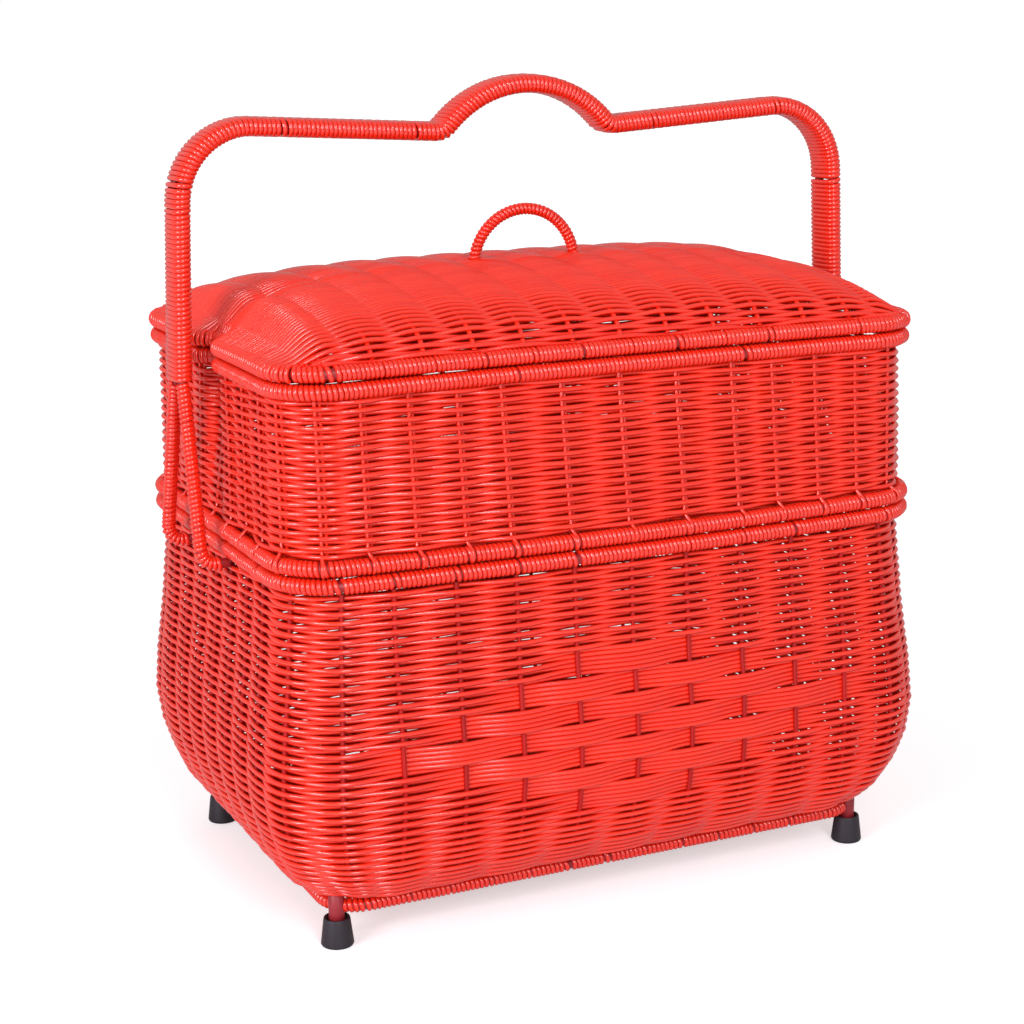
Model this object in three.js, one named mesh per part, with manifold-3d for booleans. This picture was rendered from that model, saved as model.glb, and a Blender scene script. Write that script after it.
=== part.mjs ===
// A tiered storage basket woven from round rattan strand over a welded wire frame.
// It stands on four tube legs with rubber caps. A deep lower basket carries the handle,
// a shallow tray stands on its rim, and a domed lid with a finger loop closes the tray.
// Millimetres, +X along the width, +Y to the back, +Z up, the floor at z = 0.

import * as THREE from 'three';
import { mergeVertices } from 'three/addons/utils/BufferGeometryUtils.js';
import Module from 'manifold-3d';

// Overall and general sizes
const overallHeight = 500;
const seatGap = 0.3;
const wireRadius = 2;
const boreClearance = 0.5;
const weaveThickness = 6;
const floorThickness = 5;
const rimRadius = 5;

// Plan of the lower basket's rim, which the foot of the tray repeats
const tierHalfWidth = 211.2;
const tierHalfDepth = 136.8;
const tierCorner = 34;
const tierBow = 9;
const lowerRimHeight = 228;

// Plan of the tray's upper rim, which the lid's rim repeats
const trayHalfWidth = 209.5;
const trayHalfDepth = 136.6;
const trayCorner = 34;
const trayBow = -5;
const trayRimHeight = 337.5;
const notchDepth = 10;
const notchFloorHalf = 8;
const notchMouthHalf = 21;

// Foot ring, legs and caps
const ringHalfWidth = 183;
const ringHalfDepth = 115.5;
const ringCorner = 22;
const ringHeight = 24.3;
const ringRadius = 4.7;
const legX = ringHalfWidth - 3;
const legY = ringHalfDepth - 5.2;
const legRadius = 4.8;
const legWall = 1.2;
const capHeight = 17.6;
const capFootRadius = 9.9;
const capMouthRadius = 8.1;
const capFloor = 4;
const capEdge = 0.8;
const capLip = 1.4;

// Lower wall: how far its outer face stands out from the rim's centre line, by height
const wallFootInset = -25;
const wallProfile = [
  [5, -13], [17, -3], [31, 3.5], [49, 8.4], [71, 10.8], [98, 9.3], [140, 4.8],
];
const wallHeadInset = 1;
const wallFootDepthExtra = 7;
const wallFootCornerExtra = 6;
const wallShapeHeight = 92;

// Weave relief: strands stand out over each stake and pinch in half way to the next, so a
// woven face swells along its stakes. An open weave's mean face lies below its crests.
const longStakeGap = 37.5;
const shortStakeGap = 29;
const longStakes = 4;
const shortStakes = 3;
const cornerStakes = 2;
const stakeRadius = 1.6;
const swellHeight = 2.1;
const openRowSink = 1.5;

// Diamond on the front: seven broad bands, and the stakes that each passes behind,
// counted from the middle
const diamondTop = 169.8;
const bandHeight = 13.6;
const bandBars = [[1], [0, 2], [1, 3], [0, 2, 4], [1, 3], [0, 2], [1]];
const bandDip = 3.3;
const bandBedDepth = 4.8;
const barSlot = 4;

// Tray wall: its outer face against the rims' centre lines
const trayWallStandOut = -0.5;

// Lid
const lidCrown = 388;
const lidEdgeInset = 3;
const lidEdgeRise = 4.5;
const lidEndPower = 4;
const lidEndEase = 0.55;
const lidSidePower = 2.2;
const lidSideEase = 0.75;
const lidStakeGap = 31.3;
const valleyDepth = 11;
const valleyLength = 95;
const valleyHalf = 13;
const loopRadius = 35;
const loopWireRadius = 1.5;
const loopWrapRadius = 3.9;
const loopCentreHeight = 381.5;
const loopFootClearance = 1.2;
const ribGap = 1.8;

// Carry handle: two wires side by side under one wrapping
const gripThickness = 12;
const wireSpread = 15;
const uprightX = 222.6;
const uprightLean = 0.0378;
const cornerRadius = 38;
const barEndHeight = 474.6;
const barKinkHeight = 466.6;
const kinkHalf = 57;
const splitHeight = 328;
const prongSpread = 66;
const prongFootX = 229.8;
const prongRadius = 4.3;
const hookBend = 9;
const hookWrapShare = 0.5;
const neckDrop = 0.8;
const prongNeckGap = 1.4;

// Cross wires that carry the two floors
const floorWireX = 75;

const wasm = await Module();
wasm.setup();

const basket = new THREE.Group();
const rattan = 0xe8452f;
const finishes = {
  weave: new THREE.MeshStandardMaterial({ color: rattan, roughness: 0.42, metalness: 0 }),
  wrap: new THREE.MeshStandardMaterial({ color: 0xec4a34, roughness: 0.38, metalness: 0 }),
  wire: new THREE.MeshStandardMaterial({ color: 0xc22a2e, roughness: 0.45, metalness: 0.3 }),
  rubber: new THREE.MeshStandardMaterial({ color: 0x3f3a45, roughness: 0.7, metalness: 0 }),
};

function addPiece(name, finish, geometry, parent = basket) {
  const piece = new THREE.Mesh(geometry, finishes[finish]);
  piece.name = name;
  parent.add(piece);
}

// Booleans: a closed geometry becomes a solid, and the result a geometry again.
function toSolid(geometry) {
  const bare = geometry.clone();
  bare.deleteAttribute('normal');
  bare.deleteAttribute('uv');
  const merged = mergeVertices(bare, 1e-4);
  const vertProperties = new Float32Array(merged.attributes.position.array);
  const triVerts = new Uint32Array(merged.index.array);
  return new wasm.Manifold(new wasm.Mesh({ numProp: 3, vertProperties, triVerts }));
}

function toGeometry(solid) {
  const mesh = solid.getMesh();
  const geometry = new THREE.BufferGeometry();
  geometry.setAttribute('position', new THREE.BufferAttribute(mesh.vertProperties, 3));
  geometry.setIndex(new THREE.BufferAttribute(mesh.triVerts, 1));
  geometry.computeVertexNormals();
  return geometry;
}

function cutAway(geometry, ...cutters) {
  let solid = toSolid(geometry);
  for (const cutter of cutters) solid = solid.subtract(toSolid(cutter));
  return toGeometry(solid);
}

function joined(solids) {
  return solids.reduce((whole, solid) => whole.add(solid));
}

// Plan outlines: a rounded rectangle whose long sides bow and whose short sides may hold
// a rounded notch. Every outline has the same number of points, so that any two can be lofted.
const cornerSteps = 5;
const longSteps = 8;
const bendSteps = 4;

function notchInset(y, depth) {
  const ramp = THREE.MathUtils.smoothstep(Math.abs(y), notchFloorHalf, notchMouthHalf);
  return depth * (1 - ramp);
}

function planOutline({ halfX, halfY, corner, bow, notch = 0 }) {
  const shortYs = [];
  for (let i = 0; i <= bendSteps; i += 1) {
    shortYs.push(-THREE.MathUtils.lerp(notchMouthHalf, notchFloorHalf, i / bendSteps));
  }
  const allShortYs = [...shortYs, ...shortYs.map((y) => -y).reverse()];
  const quarter = (fromAngle, centreX, centreY) => {
    const points = [];
    for (let i = 0; i <= cornerSteps; i += 1) {
      const angle = THREE.MathUtils.degToRad(fromAngle + (90 * i) / cornerSteps);
      points.push([centreX + corner * Math.cos(angle), centreY + corner * Math.sin(angle)]);
    }
    return points;
  };
  const straight = (sign) => {
    const points = [];
    for (let i = 1; i < longSteps; i += 1) {
      points.push([sign * (halfX - corner) * (1 - (2 * i) / longSteps), sign * halfY]);
    }
    return points;
  };
  const innerX = halfX - corner;
  const innerY = halfY - corner;
  const points = [
    ...allShortYs.map((y) => [halfX - notchInset(y, notch), y]),
    ...quarter(0, innerX, innerY),
    ...straight(1),
    ...quarter(90, -innerX, innerY),
    ...allShortYs.map((y) => [-halfX + notchInset(y, notch), -y]),
    ...quarter(180, -innerX, -innerY),
    ...straight(-1),
    ...quarter(270, innerX, -innerY),
  ];
  return points.map(([x, y]) => {
    const swell = 1 + (bow / halfY) * (1 - (x / halfX) ** 2);
    return new THREE.Vector2(x, y * swell);
  });
}

function outlineNormals(outline) {
  return outline.map((point, i) => {
    const before = outline[(i + outline.length - 1) % outline.length];
    const after = outline[(i + 1) % outline.length];
    const first = point.clone().sub(before).normalize();
    const second = after.clone().sub(point).normalize();
    const along = first.clone().add(second).normalize();
    const mitre = 1 / Math.max(along.dot(second), 0.5);
    return new THREE.Vector2(along.y, -along.x).multiplyScalar(mitre);
  });
}

function offsetOutline(outline, distance) {
  const normals = outlineNormals(outline);
  return outline.map((point, i) => point.clone().addScaledVector(normals[i], distance));
}

// Rings of equal length become a surface. A tube or wall closes on its first ring,
// and a plate or dome closes on a middle point at either end, at the heights given.
function ringMesh(rings, poleHeights = []) {
  const count = rings[0].length;
  const positions = rings.flat().flatMap((point) => [point.x, point.y, point.z]);
  const index = [];
  const hasPoles = poleHeights.length === 2;
  const spans = hasPoles ? rings.length - 1 : rings.length;
  for (let k = 0; k < spans; k += 1) {
    const low = k * count;
    const high = ((k + 1) % rings.length) * count;
    for (let i = 0; i < count; i += 1) {
      const j = (i + 1) % count;
      index.push(low + i, low + j, high + j, low + i, high + j, high + i);
    }
  }
  if (hasPoles) {
    const firstPole = rings.length * count;
    const lastPole = firstPole + 1;
    const last = (rings.length - 1) * count;
    for (const height of poleHeights) positions.push(0, 0, height);
    for (let i = 0; i < count; i += 1) {
      const j = (i + 1) % count;
      index.push(firstPole, j, i, lastPole, last + i, last + j);
    }
  }
  const geometry = new THREE.BufferGeometry();
  geometry.setAttribute('position', new THREE.Float32BufferAttribute(positions, 3));
  geometry.setIndex(index);
  geometry.computeVertexNormals();
  return geometry;
}

function ringAt(outline, height) {
  return outline.map((point) => new THREE.Vector3(point.x, point.y, height));
}

// A level closed tube round an outline. Its flats stand at the radius, so that tubes which
// lie on one another keep their gap.
const rimSides = 8;

function rimTube(outline, height, radius) {
  const normals = outlineNormals(outline);
  const edge = radius / Math.cos(Math.PI / rimSides);
  const rings = [];
  for (let k = 0; k < rimSides; k += 1) {
    const angle = (2 * Math.PI * (k + 0.5)) / rimSides;
    const side = edge * Math.cos(angle);
    const rise = edge * Math.sin(angle);
    rings.push(outline.map((point, i) => {
      const out = point.clone().addScaledVector(normals[i], side);
      return new THREE.Vector3(out.x, out.y, height + rise);
    }));
  }
  return ringMesh(rings);
}

// Sections of equal length, in order along a bar, with flat ends
function loft(sections) {
  const count = sections[0].length;
  const positions = sections.flat().flatMap((point) => [point.x, point.y, point.z]);
  const index = [];
  for (let k = 0; k + 1 < sections.length; k += 1) {
    const low = k * count;
    const high = low + count;
    for (let i = 0; i < count; i += 1) {
      const j = (i + 1) % count;
      index.push(low + i, low + j, high + j, low + i, high + j, high + i);
    }
  }
  const last = (sections.length - 1) * count;
  for (let i = 1; i + 1 < count; i += 1) {
    index.push(0, i + 1, i, last, last + i, last + i + 1);
  }
  const geometry = new THREE.BufferGeometry();
  geometry.setAttribute('position', new THREE.Float32BufferAttribute(positions, 3));
  geometry.setIndex(index);
  return geometry;
}

function plate(outline, underside, thickness) {
  const top = underside + thickness;
  return ringMesh([ringAt(outline, underside), ringAt(outline, top)], [underside, top]);
}

// A path through fixed stations, so that a wire and the bore round it turn at the same points.
class StationPath extends THREE.Curve {
  constructor(stations) {
    super();
    this.stations = stations;
  }

  getPoint(t, target = new THREE.Vector3()) {
    const place = t * (this.stations.length - 1);
    const k = Math.min(Math.floor(place), this.stations.length - 2);
    return target.lerpVectors(this.stations[k], this.stations[k + 1], place - k);
  }

  getUtoTmapping(u) {
    return u;
  }

  getTangent(t, target = new THREE.Vector3()) {
    const last = this.stations.length - 1;
    const k = Math.round(t * last);
    const here = this.stations[k];
    const before = here.clone().sub(this.stations[Math.max(k - 1, 0)]).normalize();
    const after = this.stations[Math.min(k + 1, last)].clone().sub(here).normalize();
    return target.addVectors(before, after).normalize();
  }
}

function roundSection(radius, sides, centreX = 0) {
  const edge = radius / Math.cos(Math.PI / sides);
  const points = [];
  for (let i = 0; i < sides; i += 1) {
    const angle = (2 * Math.PI * (i + 0.5)) / sides;
    points.push(new THREE.Vector2(centreX + edge * Math.cos(angle), edge * Math.sin(angle)));
  }
  return points;
}

function sweep(section, stations, bores = []) {
  const shape = new THREE.Shape(section);
  for (const bore of bores) shape.holes.push(new THREE.Path(bore));
  return new THREE.ExtrudeGeometry(shape, {
    steps: stations.length - 1,
    extrudePath: new StationPath(stations),
    bevelEnabled: false,
  });
}

const wireSides = 6;
const boreSides = 8;

function wire(stations, radius = wireRadius) {
  return sweep(roundSection(radius, wireSides), stations);
}

function boreSection(radius, centreX = 0) {
  return roundSection(radius + boreClearance, boreSides, centreX);
}

// Plans and levels used by more than one piece
const tierPlan = {
  halfX: tierHalfWidth, halfY: tierHalfDepth, corner: tierCorner, bow: tierBow,
};
const trayPlan = {
  halfX: trayHalfWidth, halfY: trayHalfDepth, corner: trayCorner, bow: trayBow, notch: notchDepth,
};
const tierOutline = planOutline(tierPlan);
const trayOutline = planOutline(trayPlan);
const ringOutline = planOutline({
  halfX: ringHalfWidth, halfY: ringHalfDepth, corner: ringCorner, bow: 0,
});
const trayFootHeight = lowerRimHeight + 2 * rimRadius + seatGap;
const lidRimHeight = trayRimHeight + 2 * rimRadius + seatGap;
const lowerWallFoot = ringHeight + ringRadius + seatGap;
const lowerWallHead = lowerRimHeight - rimRadius - seatGap;

// Lower wall: a bulging shell that stands on the foot ring and carries the rim
function lowerWallPlan(height, standOut) {
  const toHead = THREE.MathUtils.smoothstep(height - lowerWallFoot, 0, wallShapeHeight);
  return {
    halfX: tierHalfWidth + standOut,
    halfY: tierHalfDepth + standOut + wallFootDepthExtra * (1 - toHead),
    corner: tierCorner + rimRadius + wallFootCornerExtra * (1 - toHead),
    bow: tierBow * toHead,
  };
}

const lowerWallStations = [
  [lowerWallFoot, wallFootInset],
  ...wallProfile.map(([rise, standOut]) => [lowerWallFoot + rise, standOut]),
  [lowerWallHead, wallHeadInset],
];

function lowerWallRings(extra) {
  return lowerWallStations.map(([height, standOut]) => (
    ringAt(planOutline(lowerWallPlan(height, standOut + extra)), height)
  ));
}

// The body inside a wall face, which may run out past the wall's foot and head to cut it open
function lowerWallBody(extra, overrun) {
  const rings = lowerWallRings(extra);
  for (const point of rings[0]) point.z -= overrun;
  for (const point of rings[rings.length - 1]) point.z += overrun;
  return toSolid(ringMesh(rings, [lowerWallFoot - overrun, lowerWallHead + overrun]));
}

// The plan's path from the middle of the front to the right, and the lengths along it of the
// stakes: evenly spaced on the sides, with the corners sharing out what is left
function planPath({ halfX, halfY, corner }) {
  const innerX = halfX - corner;
  const innerY = halfY - corner;
  const path = new THREE.Path();
  path.moveTo(0, -halfY);
  path.lineTo(innerX, -halfY);
  path.absarc(innerX, -innerY, corner, -Math.PI / 2, 0);
  path.lineTo(halfX, innerY);
  path.absarc(innerX, innerY, corner, 0, Math.PI / 2);
  path.lineTo(-innerX, halfY);
  path.absarc(-innerX, innerY, corner, Math.PI / 2, Math.PI);
  path.lineTo(-halfX, -innerY);
  path.absarc(-innerX, -innerY, corner, Math.PI, 1.5 * Math.PI);
  path.lineTo(0, -halfY);
  return path;
}

function stakeLengths(quarter) {
  const lengths = [];
  for (let k = 0; k <= longStakes; k += 1) lengths.push(k * longStakeGap);
  const cornerStart = lengths[longStakes];
  const cornerEnd = quarter - shortStakes * shortStakeGap;
  for (let k = 1; k <= cornerStakes; k += 1) {
    lengths.push(THREE.MathUtils.lerp(cornerStart, cornerEnd, k / (cornerStakes + 1)));
  }
  for (let k = shortStakes; k >= 0; k -= 1) lengths.push(quarter - k * shortStakeGap);
  return lengths;
}

const swellSteps = 3;

function swellDepth(share) {
  return swellHeight * (1 - Math.abs(Math.cos(Math.PI * share)));
}

function wovenOutline(plan, extra) {
  const path = planPath(plan);
  const quarter = path.getLength() / 4;
  const forward = stakeLengths(quarter);
  const backward = forward.map((length) => quarter - length).reverse();
  const outline = [];
  const depths = [];
  for (let side = 0; side < 4; side += 1) {
    const lengths = side % 2 === 0 ? forward : backward;
    for (let k = 0; k + 1 < lengths.length; k += 1) {
      for (let i = 0; i < swellSteps; i += 1) {
        const share = (i + 0.5) / swellSteps;
        const length = THREE.MathUtils.lerp(lengths[k], lengths[k + 1], share);
        const point = path.getPoint((side + length / quarter) / 4);
        point.y *= 1 + (plan.bow / plan.halfY) * (1 - (point.x / plan.halfX) ** 2);
        outline.push(point);
        depths.push(openRowSink + swellDepth(share) - extra);
      }
    }
  }
  const normals = outlineNormals(outline);
  return outline.map((point, i) => point.clone().addScaledVector(normals[i], -depths[i]));
}

function wovenBody(extra) {
  const rings = lowerWallStations.map(([height, standOut]) => (
    ringAt(wovenOutline(lowerWallPlan(height, standOut), extra), height)
  ));
  return ringMesh(rings, [lowerWallFoot, lowerWallHead]);
}

// A place on the front's outer face, sunk by a depth
function frontPlace(x, height, depth) {
  const k = lowerWallStations.findIndex(([level]) => level >= height);
  const [low, lowStandOut] = lowerWallStations[k - 1];
  const [high, highStandOut] = lowerWallStations[k];
  const share = (height - low) / (high - low);
  const plan = lowerWallPlan(height, THREE.MathUtils.lerp(lowStandOut, highStandOut, share));
  const y = -plan.halfY - plan.bow * (1 - (x / plan.halfX) ** 2);
  return new THREE.Vector3(x, y + depth, height);
}

// A band rides out over the stakes between its bars and dips behind the bars themselves.
const bandSteps = 2;

function bandBlock(bars, foot, head) {
  const reach = Math.max(...bars);
  const bed = bandBedDepth + seatGap;
  const sections = [];
  for (let i = -reach * bandSteps; i <= reach * bandSteps; i += 1) {
    const stakes = i / bandSteps;
    const before = Math.floor(stakes);
    const sides = [before, before + 1].map((stake) => (bars.includes(Math.abs(stake)) ? 1 : 0));
    const ease = 0.5 - 0.5 * Math.cos(Math.PI * (stakes - before));
    const depth = bandDip * THREE.MathUtils.lerp(sides[0], sides[1], ease);
    const x = stakes * longStakeGap;
    sections.push([
      frontPlace(x, foot, bed), frontPlace(x, head, bed),
      frontPlace(x, head, depth), frontPlace(x, foot, depth),
    ]);
  }
  return toSolid(loft(sections));
}

function barRod(stake, foot, head) {
  const centreDepth = openRowSink + stakeRadius;
  const section = roundSection(stakeRadius, wireSides);
  return toSolid(loft([foot, head].map((height) => {
    const centre = frontPlace(stake * longStakeGap, height, centreDepth);
    return section.map((point) => new THREE.Vector3(centre.x + point.x, centre.y + point.y, height));
  })));
}

function bedBlock(bars, foot, head) {
  const width = 2 * (Math.max(...bars) * longStakeGap + barSlot);
  const block = new THREE.BoxGeometry(width, 2 * tierHalfDepth, head - foot);
  block.translate(0, -tierHalfDepth, (foot + head) / 2);
  return toSolid(block);
}

const beds = [];
const raised = [];
bandBars.forEach((bars, band) => {
  const head = diamondTop - band * bandHeight;
  const foot = head - bandHeight;
  beds.push(bedBlock(bars, foot, head));
  raised.push(bandBlock(bars, foot, head));
  for (const stake of bars) {
    for (const side of stake === 0 ? [1] : [-1, 1]) {
      raised.push(barRod(side * stake, foot - seatGap, head + seatGap));
    }
  }
});
const wallOverrun = 1;
const diamondBed = joined(beds).subtract(lowerWallBody(-bandBedDepth, wallOverrun));
const lowerWall = toSolid(wovenBody(0)).subtract(diamondBed).add(joined(raised))
  .subtract(lowerWallBody(-weaveThickness, wallOverrun));
addPiece('lower_wall', 'weave', toGeometry(lowerWall));
addPiece('lower_top_rim', 'wrap', rimTube(tierOutline, lowerRimHeight, rimRadius));

// Legs and caps: the tube's head is cut to the slope of the wall above it
const legSides = 16;
const capSides = 16;
const legHeadRise = 12;
const wallBody = wovenBody(seatGap);

function legTube(x, y) {
  const foot = capFloor + seatGap;
  const head = lowerWallFoot + legHeadRise;
  const profile = [
    new THREE.Vector2(legRadius - legWall, foot),
    new THREE.Vector2(legRadius, foot),
    new THREE.Vector2(legRadius, head),
    new THREE.Vector2(legRadius - legWall, head),
    new THREE.Vector2(legRadius - legWall, foot),
  ];
  const tube = new THREE.LatheGeometry(profile, legSides);
  tube.rotateX(Math.PI / 2);
  tube.translate(x, y, 0);
  return cutAway(tube, wallBody);
}

function footCap() {
  const boreRadius = legRadius + seatGap;
  const profile = [
    new THREE.Vector2(0, 0),
    new THREE.Vector2(capFootRadius - capEdge, 0),
    new THREE.Vector2(capFootRadius, capEdge),
    new THREE.Vector2(capMouthRadius, capHeight),
    new THREE.Vector2(capMouthRadius - capLip, capHeight),
    new THREE.Vector2(boreRadius, capHeight / 2),
    new THREE.Vector2(boreRadius, capFloor),
    new THREE.Vector2(0, capFloor),
  ];
  const cap = new THREE.LatheGeometry(profile, capSides);
  cap.rotateX(Math.PI / 2);
  return cap;
}

const corners = [
  ['front_left', -1, -1], ['front_right', 1, -1], ['back_left', -1, 1], ['back_right', 1, 1],
];
for (const [place, sideX, sideY] of corners) {
  addPiece(`leg_${place}`, 'wire', legTube(sideX * legX, sideY * legY));
  const cap = footCap();
  cap.translate(sideX * legX, sideY * legY, 0);
  addPiece(`foot_cap_${place}`, 'rubber', cap);
}

// Foot ring: four wrapped rails, each bent round half a corner and ending on two legs
const bendStations = 3;
const railMeetAngle = 45;
const railEndAngle = 3;

function cornerArc(sideX, sideY, fromAngle, toAngle) {
  const points = [];
  for (let i = 0; i <= bendStations; i += 1) {
    const angle = THREE.MathUtils.degToRad(THREE.MathUtils.lerp(fromAngle, toAngle, i / bendStations));
    const x = sideX * (ringHalfWidth - ringCorner) + ringCorner * Math.cos(angle);
    const y = sideY * (ringHalfDepth - ringCorner) + ringCorner * Math.sin(angle);
    points.push(new THREE.Vector3(x, y, ringHeight));
  }
  return points;
}

const legClearances = corners.map(([, sideX, sideY]) => {
  const clear = legRadius + seatGap;
  const cutter = new THREE.CylinderGeometry(clear, clear, 2 * ringHeight, legSides);
  cutter.rotateX(Math.PI / 2);
  cutter.translate(sideX * legX, sideY * legY, ringHeight);
  return cutter;
});
const rails = [
  ['front', [-1, -1], [1, -1], 270],
  ['right', [1, -1], [1, 1], 0],
  ['back', [1, 1], [-1, 1], 90],
  ['left', [-1, 1], [-1, -1], 180],
];
for (const [place, fromCorner, toCorner, outwardAngle] of rails) {
  const turn = railMeetAngle - railEndAngle;
  const rail = sweep(roundSection(ringRadius, rimSides), [
    ...cornerArc(...fromCorner, outwardAngle - turn, outwardAngle),
    ...cornerArc(...toCorner, outwardAngle, outwardAngle + turn),
  ]);
  addPiece(`foot_rail_${place}`, 'wrap', cutAway(rail, ...legClearances));
}

// Floors: a woven plate inside each ring, on two cross wires that end on the ring
function crossWires(name, parent, halfLength, height, ringBody) {
  for (const [place, side] of [['left', -1], ['right', 1]]) {
    const x = side * floorWireX;
    const ends = [-halfLength, halfLength].map((y) => new THREE.Vector3(x, y, height));
    addPiece(`${name}_${place}`, 'wire', cutAway(wire(ends), ringBody), parent);
  }
}

const footRingBody = rimTube(ringOutline, ringHeight, ringRadius + 2 * seatGap);
const lowerFloorUnderside = ringHeight - floorThickness / 2 + wireRadius;
const lowerFloor = plate(offsetOutline(ringOutline, -ringRadius), lowerFloorUnderside, floorThickness);
addPiece('lower_floor', 'weave', cutAway(lowerFloor, footRingBody));
crossWires('lower_floor_wire', basket, ringHalfDepth, lowerFloorUnderside - wireRadius - seatGap,
  footRingBody);

// Tray: a shallow wall between two rims, with a notch in each end that fades out downwards
const tray = new THREE.Group();
basket.add(tray);
const trayWallFoot = trayFootHeight + rimRadius + seatGap;
const trayWallHead = trayRimHeight - rimRadius - seatGap;
const trayWallLevels = 3;

function trayWallRing(level, extra) {
  const share = level / trayWallLevels;
  const mix = (foot, head) => THREE.MathUtils.lerp(foot, head, share);
  const outline = planOutline({
    halfX: mix(tierHalfWidth, trayHalfWidth),
    halfY: mix(tierHalfDepth, trayHalfDepth),
    corner: mix(tierCorner, trayCorner),
    bow: mix(tierBow, trayBow),
    notch: mix(0, notchDepth),
  });
  return ringAt(offsetOutline(outline, trayWallStandOut + extra), mix(trayWallFoot, trayWallHead));
}

const trayLevels = Array.from({ length: trayWallLevels + 1 }, (_, level) => level);
const trayWall = ringMesh([
  ...trayLevels.map((level) => trayWallRing(level, 0)),
  ...trayLevels.map((level) => trayWallRing(level, -weaveThickness)).reverse(),
]);
addPiece('tray_wall', 'weave', trayWall, tray);
addPiece('tray_bottom_rim', 'wrap', rimTube(tierOutline, trayFootHeight, rimRadius), tray);
addPiece('tray_top_rim', 'wrap', rimTube(trayOutline, trayRimHeight, rimRadius), tray);

const trayRimBody = rimTube(tierOutline, trayFootHeight, rimRadius + seatGap);
const trayFloorUnderside = trayFootHeight - floorThickness / 2 + wireRadius;
const trayFloor = plate(offsetOutline(tierOutline, -rimRadius), trayFloorUnderside, floorThickness);
addPiece('tray_floor', 'weave', cutAway(trayFloor, trayRimBody), tray);
crossWires('tray_floor_wire', tray, tierHalfDepth + tierBow, trayFloorUnderside - wireRadius - seatGap,
  trayRimBody);

// Lid: a shallow dome woven over two rib wires, flat along its crown and full to its ends,
// with a valley that runs in from each notch
const lid = new THREE.Group();
tray.add(lid);
const lidOutline = offsetOutline(trayOutline, -lidEdgeInset);
const lidEdgeHeight = lidRimHeight + lidEdgeRise + weaveThickness;
const lidRise = lidCrown - lidEdgeHeight;

function lidTop(x, y) {
  const alongX = Math.max(0, 1 - Math.abs(x / trayHalfWidth) ** lidEndPower) ** lidEndEase;
  const alongY = Math.max(0, 1 - Math.abs(y / trayHalfDepth) ** lidSidePower) ** lidSideEase;
  const fromEnd = (trayHalfWidth - Math.abs(x)) / valleyLength;
  const fade = 1 - THREE.MathUtils.smoothstep(fromEnd, 0, 1);
  const across = Math.exp(-((y / valleyHalf) ** 2));
  const valley = valleyDepth * fade * across * alongX;
  return lidEdgeHeight + lidRise * alongX * alongY - valley;
}

const lidSpans = [1, 0.97, 0.92, 0.84, 0.7, 0.45];

function lidRing(span, drop) {
  return lidOutline.map((point) => {
    const x = point.x * span;
    const y = point.y * span;
    const height = span === 1 ? lidEdgeHeight : lidTop(x, y);
    return new THREE.Vector3(x, y, height - drop);
  });
}

// The shell has the lid's edge and underside, and its top stands clear of the face cut below.
const lidShell = ringMesh([
  ...lidSpans.map((span) => lidRing(span, weaveThickness)).reverse(),
  lidRing(1, 0), lidRing(lidSpans[1], -swellHeight),
], [lidTop(0, 0) - weaveThickness, overallHeight]);

// A block over a grid of places, whose top has the heights given
function reliefBlock(xs, ys, base, heightAt) {
  const positions = [];
  const index = [];
  const count = xs.length;
  for (const y of ys) {
    for (const x of xs) positions.push(x, y, heightAt(x, y));
  }
  for (let j = 0; j + 1 < ys.length; j += 1) {
    for (let i = 0; i + 1 < count; i += 1) {
      const near = j * count + i;
      const far = near + count;
      index.push(near, near + 1, far + 1, near, far + 1, far);
    }
  }
  const last = (ys.length - 1) * count;
  const edge = [];
  for (let i = 0; i + 1 < count; i += 1) edge.push(i);
  for (let j = 0; j + 1 < ys.length; j += 1) edge.push(j * count + count - 1);
  for (let i = count - 1; i > 0; i -= 1) edge.push(last + i);
  for (let j = ys.length - 1; j > 0; j -= 1) edge.push(j * count);
  const middle = positions.length / 3;
  positions.push((xs[0] + xs[count - 1]) / 2, (ys[0] + ys[ys.length - 1]) / 2, base);
  const foot = middle + 1;
  for (const place of edge) {
    positions.push(positions[3 * place], positions[3 * place + 1], base);
  }
  edge.forEach((place, i) => {
    const next = (i + 1) % edge.length;
    index.push(place, foot + i, foot + next, place, foot + next, edge[next]);
    index.push(middle, foot + next, foot + i);
  });
  const geometry = new THREE.BufferGeometry();
  geometry.setAttribute('position', new THREE.Float32BufferAttribute(positions, 3));
  geometry.setIndex(index);
  return toSolid(geometry);
}

// The rods under the lid's rows lie front to back, so its face swells along them.
const swellSpans = [0.045, 0.095, 0.16, 0.28, 0.45, 0.66, 0.82, 0.92, 1.01];
const swellYs = swellSpans.map((span) => span * trayHalfDepth);
const lidYs = [...swellYs.map((y) => -y).reverse(), 0, ...swellYs];
const lidStep = lidStakeGap / swellSteps;
const lidSteps = Math.ceil(trayHalfWidth / lidStep);
const lidXs = Array.from({ length: 2 * lidSteps }, (_, k) => (k - lidSteps + 0.5) * lidStep);
const lidRelief = reliefBlock(lidXs, lidYs, lidRimHeight, (x, y) => (
  lidTop(x, y) - swellDepth(x / lidStakeGap)
));
const lidWoven = toGeometry(toSolid(lidShell).intersect(lidRelief));
const loopFootSides = 12;
const loopFeet = [-1, 1].map((side) => {
  const bore = loopWrapRadius + loopFootClearance;
  const cutter = new THREE.CylinderGeometry(bore, bore, 4 * weaveThickness, loopFootSides);
  cutter.rotateX(Math.PI / 2);
  cutter.translate(side * loopRadius, 0, lidCrown);
  return cutter;
});
addPiece('lid_weave', 'weave', cutAway(lidWoven, ...loopFeet), lid);
const lidRimBody = rimTube(trayOutline, lidRimHeight, rimRadius + seatGap);
addPiece('lid_rim', 'wrap', rimTube(trayOutline, lidRimHeight, rimRadius), lid);

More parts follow.
